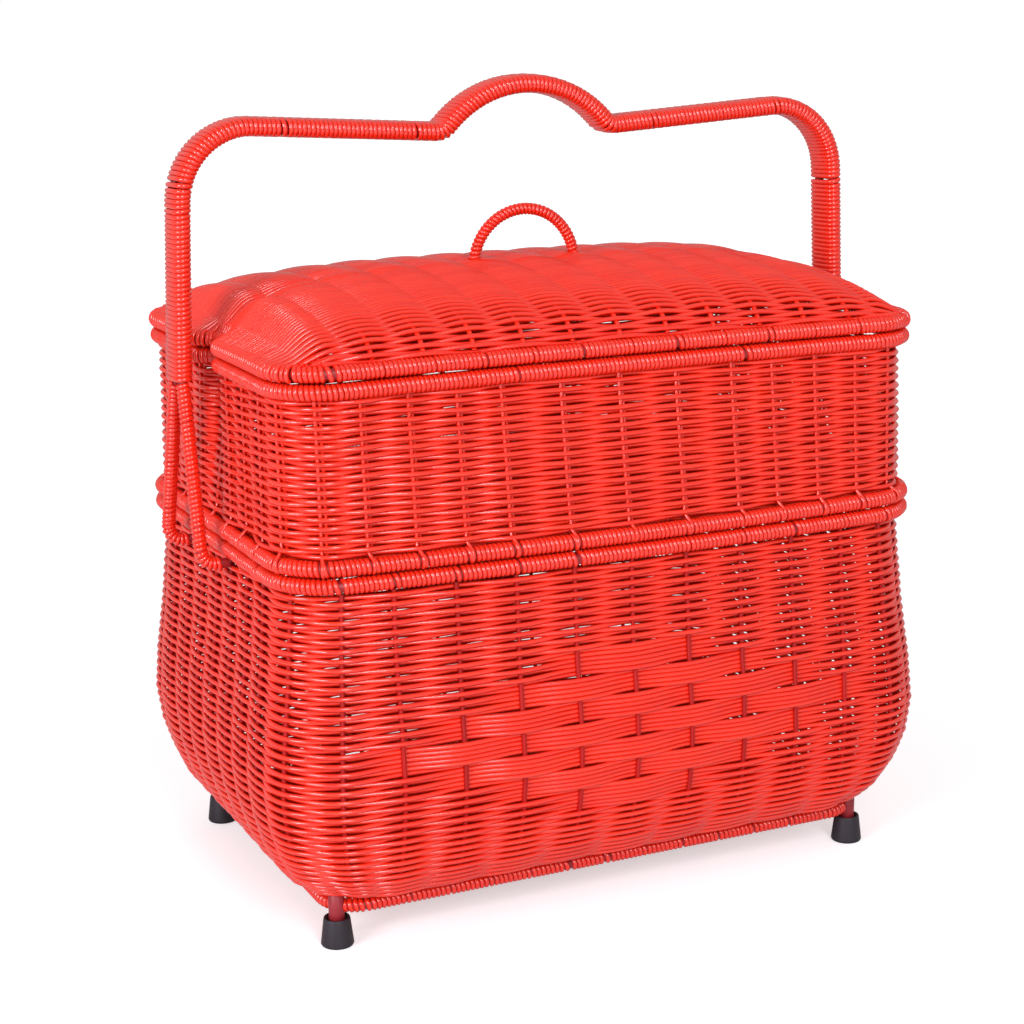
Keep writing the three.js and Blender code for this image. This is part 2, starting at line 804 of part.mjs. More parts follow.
// A rib follows the underside of the dome and turns down to the rim at both ends.
const ribSteps = 12;
const ribReach = 0.84 * trayHalfDepth;

function ribHeight(x, y) {
  const slope = (lidTop(x, y + 1) - lidTop(x, y - 1)) / 2;
  return lidTop(x, y) - weaveThickness - (wireRadius + ribGap) * Math.hypot(1, slope);
}

for (const [place, side] of [['left', -1], ['right', 1]]) {
  const x = side * loopRadius;
  const end = trayHalfDepth + trayBow;
  const turn = end - rimRadius - wireRadius;
  const stations = [-end, -turn].map((y) => new THREE.Vector3(x, y, lidRimHeight));
  for (let i = 0; i <= ribSteps; i += 1) {
    const y = THREE.MathUtils.lerp(-ribReach, ribReach, i / ribSteps);
    stations.push(new THREE.Vector3(x, y, ribHeight(x, y)));
  }
  stations.push(...[turn, end].map((y) => new THREE.Vector3(x, y, lidRimHeight)));
  addPiece(`lid_rib_${place}`, 'wire', cutAway(wire(stations), lidRimBody), lid);
}

// Finger loop: a half circle of wire in a wrapping, whose legs pass the weave and stand on the ribs
const loopFoot = ribHeight(loopRadius, 0) + wireRadius + seatGap;
const loopSteps = 16;

function loopStations(foot) {
  const stations = [new THREE.Vector3(-loopRadius, 0, foot)];
  for (let i = 0; i <= loopSteps; i += 1) {
    const angle = Math.PI * (1 - i / loopSteps);
    const x = loopRadius * Math.cos(angle);
    stations.push(new THREE.Vector3(x, 0, loopCentreHeight + loopRadius * Math.sin(angle)));
  }
  stations.push(new THREE.Vector3(loopRadius, 0, foot));
  return stations;
}

addPiece('lid_loop_wire', 'wire', wire(loopStations(loopFoot), loopWireRadius), lid);
addPiece('lid_loop_wrap', 'wrap', sweep(roundSection(loopWrapRadius, rimSides),
  loopStations(loopFoot + seatGap), [boreSection(loopWireRadius)]), lid);

// Carry handle: the grip's centre line in the plane y = 0, from one split to the other
const gripHalf = gripThickness / 2;
const archTop = overallHeight - gripHalf;

function uprightAt(height) {
  return uprightX + uprightLean * (barEndHeight - height);
}

function handleHalf() {
  const points = [];
  const lean = Math.atan(uprightLean);
  const droop = Math.atan2(barEndHeight - barKinkHeight, uprightX - cornerRadius - kinkHalf);
  const centreX = uprightAt(barEndHeight - cornerRadius) - cornerRadius;
  const centreZ = barEndHeight - cornerRadius;
  points.push([uprightAt(splitHeight), splitHeight]);
  const cornerTurns = 6;
  for (let i = 0; i <= cornerTurns; i += 1) {
    const angle = THREE.MathUtils.lerp(lean, Math.PI / 2 - droop, i / cornerTurns);
    points.push([centreX + cornerRadius * Math.cos(angle), centreZ + cornerRadius * Math.sin(angle)]);
  }
  points.push([kinkHalf + gripHalf, barKinkHeight + gripHalf * Math.tan(droop)]);
  const rise = archTop - barKinkHeight;
  const archRadius = (kinkHalf ** 2 + rise ** 2) / (2 * rise);
  const archHalf = Math.asin(kinkHalf / archRadius);
  const archTurns = 5;
  for (let i = 0; i < archTurns; i += 1) {
    const angle = archHalf * (1 - i / archTurns);
    points.push([archRadius * Math.sin(angle), archTop - archRadius * (1 - Math.cos(angle))]);
  }
  return points;
}

const rightHalf = handleHalf().map(([x, z]) => new THREE.Vector3(x, 0, z));
const leftHalf = rightHalf.map((point) => new THREE.Vector3(-point.x, 0, point.z));
const gripLine = [...leftHalf, new THREE.Vector3(0, 0, archTop), ...rightHalf.reverse()];

// The grip's section is a stadium across the two wires, with a bore for each.
function gripSection() {
  const points = [];
  const turns = 5;
  for (const [side, fromAngle] of [[1, -90], [-1, 90]]) {
    for (let i = 0; i <= turns; i += 1) {
      const angle = THREE.MathUtils.degToRad(fromAngle + (180 * i) / turns);
      const x = side * wireSpread / 2 + gripHalf * Math.cos(angle);
      points.push(new THREE.Vector2(x, gripHalf * Math.sin(angle)));
    }
  }
  return points;
}

addPiece('handle_grip_wrap', 'wrap', sweep(gripSection(), gripLine, [
  boreSection(wireRadius, wireSpread / 2), boreSection(wireRadius, -wireSpread / 2),
]));

// Below the split each wire leans out to its own side, and hooks in under the lower rim.
const hookHeight = lowerRimHeight - rimRadius - seatGap - wireRadius;
const hookTurns = 4;
const [wallShoulder, shoulderStandOut] = lowerWallStations[lowerWallStations.length - 2];
const hookLevel = (lowerWallHead - hookHeight + wireRadius) / (lowerWallHead - wallShoulder);
const hookTipX = tierHalfWidth + seatGap - openRowSink
  + THREE.MathUtils.lerp(wallHeadInset, shoulderStandOut, hookLevel);

function prongStations(sideX, sideY) {
  const bendTop = hookHeight + hookBend;
  const footY = prongSpread / 2;
  const stations = [new THREE.Vector3(sideX * hookTipX, sideY * footY, hookHeight)];
  for (let i = 0; i <= hookTurns; i += 1) {
    const angle = (Math.PI / 2) * (1 - i / hookTurns);
    const x = prongFootX - hookBend * (1 - Math.cos(angle));
    const z = bendTop - hookBend * Math.sin(angle);
    stations.push(new THREE.Vector3(sideX * x, sideY * footY, z));
  }
  const neck = splitHeight - neckDrop;
  stations.push(new THREE.Vector3(sideX * uprightAt(neck), sideY * wireSpread / 2, neck));
  return stations;
}

for (const [place, sideY] of [['front', -1], ['back', 1]]) {
  const shifted = gripLine.map((point) => new THREE.Vector3(point.x, sideY * wireSpread / 2, point.z));
  addPiece(`handle_wire_${place}`, 'wire', wire([
    ...prongStations(-1, sideY), ...shifted, ...prongStations(1, sideY).reverse(),
  ]));
}

for (const [place, sideX, sideY] of corners) {
  const stations = prongStations(sideX, sideY);
  const top = stations[stations.length - 1];
  const below = stations[stations.length - 2];
  const down = below.clone().sub(top).normalize();
  stations[stations.length - 1] = top.clone().addScaledVector(down, prongNeckGap);
  const [tip, bend] = stations;
  stations[0] = bend.clone().lerp(tip, hookWrapShare);
  addPiece(`prong_wrap_${place}`, 'wrap', sweep(roundSection(prongRadius, rimSides), stations,
    [boreSection(wireRadius)]));
}

export default basket;
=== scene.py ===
# Tiered storage basket: painted rattan strand woven over stakes and a wire frame, with a
# deep lower basket, a tray, a domed lid and a carry handle. Metres, standing on z = 0.
import math

import bpy
import numpy as np
from mathutils import Matrix, Vector


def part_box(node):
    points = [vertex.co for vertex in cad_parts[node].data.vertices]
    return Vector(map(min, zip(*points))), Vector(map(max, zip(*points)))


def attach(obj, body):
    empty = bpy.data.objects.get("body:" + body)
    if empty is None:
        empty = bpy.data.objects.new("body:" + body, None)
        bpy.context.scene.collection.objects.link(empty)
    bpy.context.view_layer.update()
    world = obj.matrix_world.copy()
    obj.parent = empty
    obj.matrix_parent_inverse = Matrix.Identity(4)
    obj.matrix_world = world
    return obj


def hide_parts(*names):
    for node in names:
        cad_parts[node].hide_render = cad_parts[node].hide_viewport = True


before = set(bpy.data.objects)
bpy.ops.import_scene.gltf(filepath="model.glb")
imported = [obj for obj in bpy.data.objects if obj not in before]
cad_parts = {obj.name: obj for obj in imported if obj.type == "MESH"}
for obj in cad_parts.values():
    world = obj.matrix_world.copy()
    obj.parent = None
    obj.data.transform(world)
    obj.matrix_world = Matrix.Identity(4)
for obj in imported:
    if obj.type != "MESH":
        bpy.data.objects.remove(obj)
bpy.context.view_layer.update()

# Lower wall: round strand woven in and out of upright stakes, close at the foot and open
# higher up, with a diamond of broad bands on the front where five strands pass together.
# The strands are tubes along rows laid round the wall, pushed in and out at each stake.
STRAND_RADIUS = 0.0015
STAKE_RADIUS = 0.0016
WEAVE_DEPTH = 0.0019
FACE_DEPTH = WEAVE_DEPTH + STRAND_RADIUS
RIM_RADIUS = 0.005
WALL_STAKES = (0.0, 0.0375, 0.075, 0.1125, 0.15)
SHORT_STAKE_GAP = 0.029
CORNER_STAKES = 2
SHORT_STAKES = 3
STEPS_PER_STAKE = 8
STAKE_POINTS = 26
OUTLINE_POINTS = 4000
SWAY_SCALE = 13.0
STRAY_SCALE = 28.0
TONE_SPREAD = 37.0

rim_low, rim_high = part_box("lower_top_rim")
wall_low, wall_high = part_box("lower_wall")
TIER_CORNER = 0.034
TIER_BOW = 0.009
TIER_HALF_X = rim_high[0] - RIM_RADIUS
TIER_HALF_Y = rim_high[1] - RIM_RADIUS - TIER_BOW
WALL_FOOT = wall_low[2]
WALL_HEAD = wall_high[2]
NOTCH_FLOOR = 0.008
NOTCH_MOUTH = 0.021


def smooth(low, high, value):
    share = np.clip((value - low) / (high - low), 0, 1)
    return share * share * (3 - 2 * share)


def plan_outline(half_x, half_y, corner, bow, notch=0.0):
    """Points round a rounded rectangle, from the middle of its front to the right,
    with the length along it and the outward direction at each."""
    side_x = half_x - corner
    side_y = half_y - corner
    arc = corner * math.pi / 2
    lengths = [side_x, arc, 2 * side_y, arc, 2 * side_x, arc, 2 * side_y, arc, side_x]
    total = sum(lengths)
    s = np.arange(OUTLINE_POINTS) * total / OUTLINE_POINTS
    x = np.zeros_like(s)
    y = np.zeros_like(s)
    start = 0.0
    heading = 0.0
    at = np.array([0.0, -half_y])
    for i, length in enumerate(lengths):
        inside = (s >= start) & (s < start + length + 1e-12)
        run = s[inside] - start
        direction = np.array([math.cos(heading), math.sin(heading)])
        if i % 2 == 0:
            x[inside] = at[0] + direction[0] * run
            y[inside] = at[1] + direction[1] * run
            at = at + direction * length
        else:
            left = np.array([-direction[1], direction[0]])
            centre = at + left * corner
            turn = heading - math.pi / 2 + run / corner
            x[inside] = centre[0] + corner * np.cos(turn)
            y[inside] = centre[1] + corner * np.sin(turn)
            heading += math.pi / 2
            end = heading - math.pi / 2
            at = centre + corner * np.array([math.cos(end), math.sin(end)])
        start += length
    dent = notch * (1 - smooth(NOTCH_FLOOR, NOTCH_MOUTH, np.abs(y)))
    on_end = np.abs(x) > half_x - 0.25 * corner
    x = np.where(on_end, x - np.sign(x) * dent, x)
    y = y * (1 + bow / half_y * (1 - (x / half_x) ** 2))
    points = np.stack([x, y], 1)
    step = np.roll(points, -1, 0) - points
    along = np.concatenate([[0], np.cumsum(np.hypot(step[:, 0], step[:, 1]))])
    tangent = np.roll(points, -1, 0) - np.roll(points, 1, 0)
    tangent /= np.linalg.norm(tangent, axis=1)[:, None]
    outward = np.stack([tangent[:, 1], -tangent[:, 0]], 1)
    return points, along, outward


def stake_lengths(total, long_stakes):
    """Lengths round an outline at which its stakes stand, from the middle of the front.
    The long sides' stakes are given, and the corners and short sides are filled evenly."""
    quarter = total / 4
    short_stakes = [quarter - SHORT_STAKE_GAP * k for k in range(SHORT_STAKES, -1, -1)]
    turn = np.linspace(long_stakes[-1], short_stakes[0], CORNER_STAKES + 2)[1:-1]
    knots = np.array([*long_stakes, *turn, *short_stakes])
    parts = [q * quarter + (knots if q % 2 == 0 else quarter - knots[::-1])[:-1] for q in range(4)]
    return np.concatenate(parts)


def at_lengths(values, along, s):
    """What values given at an outline's points are at lengths along it."""
    closed = np.vstack([values, values[:1]])
    return np.stack([np.interp(s, along, closed[:, k]) for k in range(2)], 1)


def row_round(outline, steps, long_stakes):
    """Places at even shares of the stake spacing all round an outline: (points, outward,
    stake number), where stake 0 is at the middle of the front."""
    points, along, outward = outline
    lengths = np.append(stake_lengths(along[-1], long_stakes), along[-1])
    stake = np.arange((len(lengths) - 1) * steps) / steps
    s = np.interp(stake, np.arange(len(lengths)), lengths)
    facing = at_lengths(outward, along, s)
    facing /= np.linalg.norm(facing, axis=1)[:, None]
    return at_lengths(points, along, s), facing, stake


def between_stakes(stake, values):
    """Swings smoothly from one stake's value to the next."""
    low = np.floor(stake).astype(int)
    share = 0.5 - 0.5 * np.cos(np.pi * (stake - low))
    count = len(values)
    return values[low % count] * (1 - share) + values[(low + 1) % count] * share


def path_mesh(name, paths, closed, measure):
    """A mesh of bare edges, one chain for each path. A path is (points, outward, measure,
    tone). A woven path's measure is over, from -1 inside the stakes to 1 outside them, and
    a wound path's is turn, the number of turns made so far."""
    points, outward, measured, tone, edges = [], [], [], [], []
    first = 0
    for path_points, path_outward, path_measure, path_tone in paths:
        count = len(path_points)
        points.append(path_points)
        outward.append(path_outward)
        measured.append(path_measure)
        tone.append(np.full(count, path_tone))
        index = np.arange(first, first + count)
        edges.extend(zip(index[:-1].tolist(), index[1:].tolist()))
        if closed:
            edges.append((int(index[-1]), int(index[0])))
        first += count
    mesh = bpy.data.meshes.new(name)
    mesh.from_pydata(np.concatenate(points).tolist(), edges, [])
    mesh.attributes.new("outward", "FLOAT_VECTOR", "POINT").data.foreach_set(
        "vector", np.concatenate(outward).astype(np.float32).ravel())
    mesh.attributes.new(measure, "FLOAT", "POINT").data.foreach_set(
        "value", np.concatenate(measured).astype(np.float32))
    mesh.attributes.new("tone", "FLOAT", "POINT").data.foreach_set(
        "value", np.concatenate(tone).astype(np.float32))
    piece = bpy.data.objects.new(name, mesh)
    bpy.context.scene.collection.objects.link(piece)
    return piece


def start_tree(name, inputs):
    """A Geometry Nodes tree with named inputs, and its group input and output nodes."""
    tree = bpy.data.node_groups.new(name, "GeometryNodeTree")
    tree.interface.new_socket("Geometry", in_out="INPUT", socket_type="NodeSocketGeometry")
    for label, kind in inputs:
        tree.interface.new_socket(label, in_out="INPUT", socket_type="NodeSocket" + kind)
    tree.interface.new_socket("Geometry", in_out="OUTPUT", socket_type="NodeSocketGeometry")
    return tree, tree.nodes.new("NodeGroupInput"), tree.nodes.new("NodeGroupOutput")


def wire_up(tree, kind, links, **settings):
    """Adds a node, sets its settings and joins its inputs to sockets or plain values."""
    node = tree.nodes.new(kind)
    for key, value in settings.items():
        setattr(node, key, value)
    for key, source in links.items():
        if isinstance(source, bpy.types.NodeSocket):
            tree.links.new(source, node.inputs[key])
        else:
            node.inputs[key].default_value = source
    return node


def maths(tree, operation, *sources):
    return wire_up(tree, "ShaderNodeMath", dict(enumerate(sources)), operation=operation).outputs[0]


def vectors(tree, operation, *sources):
    node = wire_up(tree, "ShaderNodeVectorMath", dict(enumerate(sources)), operation=operation)
    return node.outputs["Value" if operation == "DOT_PRODUCT" else "Vector"]


def scaled(tree, vector, factor):
    node = wire_up(tree, "ShaderNodeVectorMath", {0: vector, "Scale": factor}, operation="SCALE")
    return node.outputs["Vector"]


def tubes_from_curves(tree, given, curves, out):
    """Gives curves the round section of a strand, and ends the tree."""
    profile = wire_up(tree, "GeometryNodeCurvePrimitiveCircle", {
        "Resolution": given.outputs["Sides"], "Radius": given.outputs["Strand Radius"]})
    tube = wire_up(tree, "GeometryNodeCurveToMesh", {
        "Curve": curves, "Profile Curve": profile.outputs["Curve"], "Fill Caps": True})
    soft = wire_up(tree, "GeometryNodeSetShadeSmooth", {"Geometry": tube.outputs["Mesh"]})
    real = wire_up(tree, "GeometryNodeRealizeInstances", {"Geometry": soft.outputs["Geometry"]})
    painted = wire_up(tree, "GeometryNodeSetMaterial", {
        "Geometry": real.outputs["Geometry"], "Material": given.outputs["Material"]})
    tree.links.new(painted.outputs["Geometry"], out.inputs["Geometry"])


def woven_strand_tree():
    """Rows of bare edges become strands that swing in and out of their stakes."""
    tree, given, out = start_tree("woven strands", [
        ("Strand Radius", "Float"), ("Weave Depth", "Float"), ("Sway", "Float"),
        ("Sway Scale", "Float"), ("Stray", "Float"), ("Stray Scale", "Float"), ("Seed", "Float"),
        ("Sides", "Int"), ("Material", "Material")])
    over = wire_up(tree, "GeometryNodeInputNamedAttribute", {"Name": "over"}, data_type="FLOAT")
    outward = wire_up(tree, "GeometryNodeInputNamedAttribute", {"Name": "outward"},
                      data_type="FLOAT_VECTOR")
    swing = maths(tree, "MULTIPLY", over.outputs["Attribute"], given.outputs["Weave Depth"])
    push = scaled(tree, outward.outputs["Attribute"], swing)
    tone = wire_up(tree, "GeometryNodeInputNamedAttribute", {"Name": "tone"}, data_type="FLOAT")
    place = tree.nodes.new("GeometryNodeInputPosition")
    together = wire_up(tree, "ShaderNodeTexNoise", {
        "Vector": place.outputs["Position"], "Scale": given.outputs["Sway Scale"], "Detail": 1.0})
    own = maths(tree, "MULTIPLY_ADD", tone.outputs["Attribute"], TONE_SPREAD, given.outputs["Seed"])
    alone = wire_up(tree, "ShaderNodeTexNoise", {
        "Vector": place.outputs["Position"], "W": own, "Scale": given.outputs["Stray Scale"],
        "Detail": 1.0}, noise_dimensions="4D")
    offset = push
    for noise, size in ((together, "Sway"), (alone, "Stray")):
        centred = vectors(tree, "SUBTRACT", noise.outputs["Color"], (0.5, 0.5, 0.5))
        offset = vectors(tree, "ADD", offset, scaled(tree, centred, given.outputs[size]))
    moved = wire_up(tree, "GeometryNodeSetPosition", {
        "Geometry": given.outputs["Geometry"], "Offset": offset})
    curves = wire_up(tree, "GeometryNodeMeshToCurve", {"Mesh": moved.outputs["Geometry"]})
    tubes_from_curves(tree, given, curves.outputs["Curve"], out)
    return tree


woven_strands = woven_strand_tree()


def run_tree(piece, tree, values):
    """Runs a tree on a piece and keeps the result as its plain mesh."""
    names = {item.name: item.identifier for item in tree.interface.items_tree
             if item.item_type == "SOCKET" and item.in_out == "INPUT"}
    modifier = piece.modifiers.new(tree.name, "NODES")
    modifier.node_group = tree
    for label, value in values.items():
        modifier[names[label]] = value
    bpy.context.view_layer.update()
    ready = bpy.context.evaluated_depsgraph_get()
    mesh = bpy.data.meshes.new_from_object(piece.evaluated_get(ready), depsgraph=ready)
    piece.modifiers.clear()
    piece.data = mesh
    return piece


def lay_strands(name, paths, material, closed=True, radius=STRAND_RADIUS, depth=WEAVE_DEPTH,
                sway=0.0018, stray=0.0005, sides=6, seed=3.0):
    """Lays strands along paths. All sway together over a hand's width, and stray alone."""
    piece = path_mesh(name, paths, closed, "over")
    return run_tree(piece, woven_strands, {
        "Strand Radius": radius, "Weave Depth": depth, "Sway": sway, "Sway Scale": SWAY_SCALE,
        "Stray": stray, "Stray Scale": STRAY_SCALE, "Seed": seed, "Sides": sides,
        "Material": material})


def settle(piece, body, slot, *nodes):
    """Joins a finished piece to its body and hides the solids that it stands for. The slot is not
    used.
    """
    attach(piece, body)
    if nodes:
        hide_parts(*nodes)


def srgb(red, green, blue):
    parts = []
    for value in (red, green, blue):
        share = value / 255
        parts.append(share / 12.92 if share <= 0.04045 else ((share + 0.055) / 1.055) ** 2.4)
    return (*parts, 1.0)


def strand_paint(name, deep, bright, roughness, gloss=0.5):
    """Paint on rattan: each strand a little lighter or darker, with faint flecks and a
    slightly uneven skin."""
    material = bpy.data.materials.new(name)
    material.use_nodes = True
    tree = material.node_tree
    shader = tree.nodes["Principled BSDF"]
    place = tree.nodes.new("ShaderNodeTexCoord").outputs["Object"]
    tone = wire_up(tree, "ShaderNodeAttribute", {}, attribute_name="tone").outputs["Fac"]
    cloud = wire_up(tree, "ShaderNodeTexNoise", {"Vector": place, "Scale": 60.0, "Detail": 2.0})
    grain = wire_up(tree, "ShaderNodeTexNoise", {"Vector": place, "Scale": 900.0, "Detail": 2.0})
    soft = maths(tree, "MULTIPLY", cloud.outputs["Fac"], 0.5)
    mixed = maths(tree, "MULTIPLY_ADD", tone, 0.5, soft)
    colour = wire_up(tree, "ShaderNodeMix", {
        "Factor": mixed, 6: deep, 7: bright}, data_type="RGBA")
    tree.links.new(colour.outputs[2], shader.inputs["Base Color"])
    rough = maths(tree, "MULTIPLY_ADD", grain.outputs["Fac"], 0.16, roughness - 0.08)
    tree.links.new(rough, shader.inputs["Roughness"])
    skin = wire_up(tree, "ShaderNodeBump", {
        "Height": grain.outputs["Fac"], "Strength": 0.12, "Distance": 0.0003})
    tree.links.new(skin.outputs["Normal"], shader.inputs["Normal"])
    shader.inputs["Specular IOR Level"].default_value = gloss
    return material


rattan_red = strand_paint("red rattan", srgb(226, 30, 10), srgb(245, 50, 22), 0.2, 0.9)
# The stakes and floor rods are the strands' red. They are painted darker here as painted shade for
# the gaps between strands where they stand.
shaded_stake_red = strand_paint("red stake with painted shade", srgb(150, 10, 8), srgb(180, 18, 14), 0.5, 0.3)

WALL_PROFILE = (
    (0.0, -0.025), (0.005, -0.013), (0.017, -0.003), (0.031, 0.0035), (0.049, 0.0084),
    (0.071, 0.0108), (0.098, 0.0093), (0.140, 0.0048), (WALL_HEAD - WALL_FOOT, 0.001),
)
WALL_SHAPE_HEIGHT = 0.092
FOOT_DEPTH_EXTRA = 0.007
FOOT_CORNER_EXTRA = 0.006


def wall_outline(height, sink):
    """The lower wall's outline at a height, sunk below its outer face."""
    rises, stand_outs = zip(*WALL_PROFILE)
    rise = height - WALL_FOOT
    stand_out = np.interp(rise, rises, stand_outs) - sink
    to_foot = 1 - smooth(0, WALL_SHAPE_HEIGHT, rise)
    half_x = TIER_HALF_X + stand_out
    half_y = TIER_HALF_Y + stand_out + FOOT_DEPTH_EXTRA * to_foot
    corner = TIER_CORNER + RIM_RADIUS + FOOT_CORNER_EXTRA * to_foot
    return plan_outline(half_x, half_y, corner, TIER_BOW * (1 - to_foot))


DIAMOND_TOP = 0.1698
BAND_STRANDS = 5
BAND_HEIGHT = 0.0136
DIAMOND_BARS = ((1,), (0, 2), (1, 3), (0, 2, 4), (1, 3), (0, 2), (1,))
HEAD_PITCH = 0.00271
FOOT_PITCH = 0.00245


def wall_rows():
    """Height and diamond band of each row, from the rim down to the foot."""
    rows = []
    height = DIAMOND_TOP + HEAD_PITCH / 2
    while height < WALL_HEAD - STRAND_RADIUS:
        rows.append((height, None))
        height += HEAD_PITCH
    rows.reverse()
    strand_pitch = BAND_HEIGHT / BAND_STRANDS
    for band in range(len(DIAMOND_BARS)):
        for strand in range(BAND_STRANDS):
            count = band * BAND_STRANDS + strand + 0.5
            rows.append((DIAMOND_TOP - count * strand_pitch, band))
    rises, stand_outs = (np.array(part) for part in zip(*WALL_PROFILE))
    fine = np.linspace(0, rises[-1], 2000)
    slope = np.gradient(np.interp(fine, rises, stand_outs), fine)
    climb = np.concatenate([[0], np.cumsum(np.hypot(1, slope[1:]) * np.diff(fine))])
    diamond_foot = DIAMOND_TOP - len(DIAMOND_BARS) * BAND_HEIGHT - WALL_FOOT
    climb_there = np.interp(diamond_foot, fine, climb)
    count = round((climb_there - STRAND_RADIUS) / FOOT_PITCH)
    for k in range(count):
        at = climb_there - (k + 0.5) * (climb_there - STRAND_RADIUS) / count
        rows.append((WALL_FOOT + np.interp(at, climb, fine), None))
    return rows


def stake_sides(row, count, band=None):
    """+1 where the row's strand passes outside a stake, and -1 where it passes inside."""
    sides = np.where((np.arange(count) + row) % 2 == 0, 1.0, -1.0)
    if band is not None:
        bars = DIAMOND_BARS[band]
        for stake in range(-max(bars), max(bars) + 1):
            sides[stake % count] = -1.0 if abs(stake) in bars else 1.0
    return sides


draw = np.random.default_rng(7)


def woven_row(outline, height, row, long_stakes, band=None):
    """The path of one row of weave round an outline."""
    place, facing, stake = row_round(outline, STEPS_PER_STAKE, long_stakes)
    over = between_stakes(stake, stake_sides(row, len(place) // STEPS_PER_STAKE, band))
    points = np.column_stack([place, np.full(len(place), height)])
    return points, np.column_stack([facing, np.zeros(len(place))]), over, draw.random()


def still_path(points, tone):
    """The path of a stake, rod or wire, which doesn't swing."""
    return points, np.zeros((len(points), 3)), np.zeros(len(points)), tone


wall_paths = [woven_row(wall_outline(height, FACE_DEPTH), height, row, WALL_STAKES, band)
              for row, (height, band) in enumerate(wall_rows())]
half = len(wall_paths) // 2
upper_weave = lay_strands("lower_weave_upper", wall_paths[:half], rattan_red)
lower_weave = lay_strands("lower_weave_lower", wall_paths[half:], rattan_red)
settle(upper_weave, "basket", "weave", "lower_wall")
settle(lower_weave, "basket", "weave")

stake_paths = []
stake_heights = np.linspace(WALL_FOOT, WALL_HEAD, STAKE_POINTS)
stake_places = [row_round(wall_outline(height, FACE_DEPTH), 1, WALL_STAKES)
                for height in stake_heights]
for stake in range(len(stake_places[0][0])):
    points = np.array([[*place[stake], height]
                       for (place, _, _), height in zip(stake_places, stake_heights)])
    stake_paths.append(still_path(points, draw.random()))
# The stakes' darker red is painted shade.
stakes = lay_strands("lower_stakes", stake_paths, shaded_stake_red, closed=False,
                     radius=STAKE_RADIUS, seed=11.0)
settle(stakes, "basket", "weave")

# Rims: steel wire bound with strand laid side by side. The binding opens where a stake meets
# the rim, and one slanted turn crosses the gap. It is a helix wound along the rim's path.
BINDING_RADIUS = 0.0016
BINDING_PITCH = 0.0029
BINDING_STEP = 0.001
FLANK_STEEPNESS = 2.2
NARROW_BREAK = 0.0006
WIDE_BREAK = 0.0034


def winding_tree():
    """A path becomes a strand wound round it, by the turns that its points carry."""
    tree, given, out = start_tree("wound strand", [
        ("Across", "Vector"), ("Half Spread", "Float"), ("Coil Radius", "Float"),
        ("Strand Radius", "Float"), ("Step", "Float"), ("Sides", "Int"), ("Material", "Material")])
    curves = wire_up(tree, "GeometryNodeMeshToCurve", {"Mesh": given.outputs["Geometry"]})
    even = wire_up(tree, "GeometryNodeResampleCurve", {
        "Curve": curves.outputs["Curve"], "Length": given.outputs["Step"]}, mode="LENGTH")
    turn = wire_up(tree, "GeometryNodeInputNamedAttribute", {"Name": "turn"}, data_type="FLOAT")
    angle = maths(tree, "MULTIPLY", turn.outputs["Attribute"], 2 * math.pi)
    tangent = tree.nodes.new("GeometryNodeInputTangent").outputs["Tangent"]
    lean = vectors(tree, "DOT_PRODUCT", given.outputs["Across"], tangent)
    level = vectors(tree, "SUBTRACT", given.outputs["Across"], scaled(tree, tangent, lean))
    across = vectors(tree, "NORMALIZE", level)
    rise = vectors(tree, "CROSS_PRODUCT", tangent, across)
    cosine = maths(tree, "COSINE", angle)
    sine = maths(tree, "SINE", angle)
    steep = maths(tree, "MULTIPLY", cosine, FLANK_STEEPNESS)
    flank = maths(tree, "MAXIMUM", maths(tree, "MINIMUM", steep, 1.0), -1.0)
    sideways = maths(tree, "ADD", maths(tree, "MULTIPLY", flank, given.outputs["Half Spread"]),
                     maths(tree, "MULTIPLY", cosine, given.outputs["Coil Radius"]))
    upright = maths(tree, "MULTIPLY", sine, given.outputs["Coil Radius"])
    offset = vectors(tree, "ADD", scaled(tree, across, sideways), scaled(tree, rise, upright))
    wound = wire_up(tree, "GeometryNodeSetPosition", {
        "Geometry": even.outputs["Curve"], "Offset": offset})
    tubes_from_curves(tree, given, wound.outputs["Geometry"], out)
    return tree


wound_strand = winding_tree()


def path_run(points):
    return np.concatenate([[0], np.cumsum(np.linalg.norm(np.diff(points, axis=0), axis=1))])


def break_widths(places):
    """Gives each place a break of its own width, few of them wide."""
    return [(place, NARROW_BREAK + (WIDE_BREAK - NARROW_BREAK) * draw.random() ** 2)
            for place in places]


def bind(name, points, material, across, outer_radius, breaks=(), half_spread=0.0,
         pitch=BINDING_PITCH, radius=BINDING_RADIUS, steps=14, whole=False):
    """Binds a path with strand, out to the radius that the finished binding has. A break is
    (length along the path, width of the gap). A whole ring ends where it began."""
    run = path_run(points)
    at, turns = [0.0], [0.0]
    for place, width in sorted(breaks):
        half = (pitch + width) / 2
        turns.append(turns[-1] + max(0, place - half - at[-1]) / pitch)
        at.append(max(at[-1], place - half))
        turns.append(turns[-1] + 1)
        at.append(place + half)
    turns.append(turns[-1] + (run[-1] - at[-1]) / pitch)
    at.append(run[-1])
    turns = np.array(turns)
    if whole:
        turns *= round(turns[-1]) / turns[-1]
    fine = np.union1d(np.linspace(0, run[-1], round(run[-1] / BINDING_STEP)), at)
    path = np.column_stack([np.interp(fine, run, points[:, k]) for k in range(3)])
    still = np.zeros((len(path), 3))
    piece = path_mesh(name, [(path, still, np.interp(fine, at, turns), 0.5)], False, "turn")
    return run_tree(piece, wound_strand, {
        "Across": across, "Half Spread": half_spread, "Coil Radius": outer_radius - radius,
        "Strand Radius": radius, "Step": pitch / steps, "Sides": 6, "Material": material})


def core(name, points, radius, closed, body):
    """The wire inside a binding, in the strands' red darkened as painted shade for the gaps where it
    shows.
    """
    piece = lay_strands(name, [still_path(points, 0.5)], shaded_wire_red, closed=closed, radius=radius,
                        sway=0.0, stray=0.0, sides=10)
    settle(piece, body, "wire")
    return piece


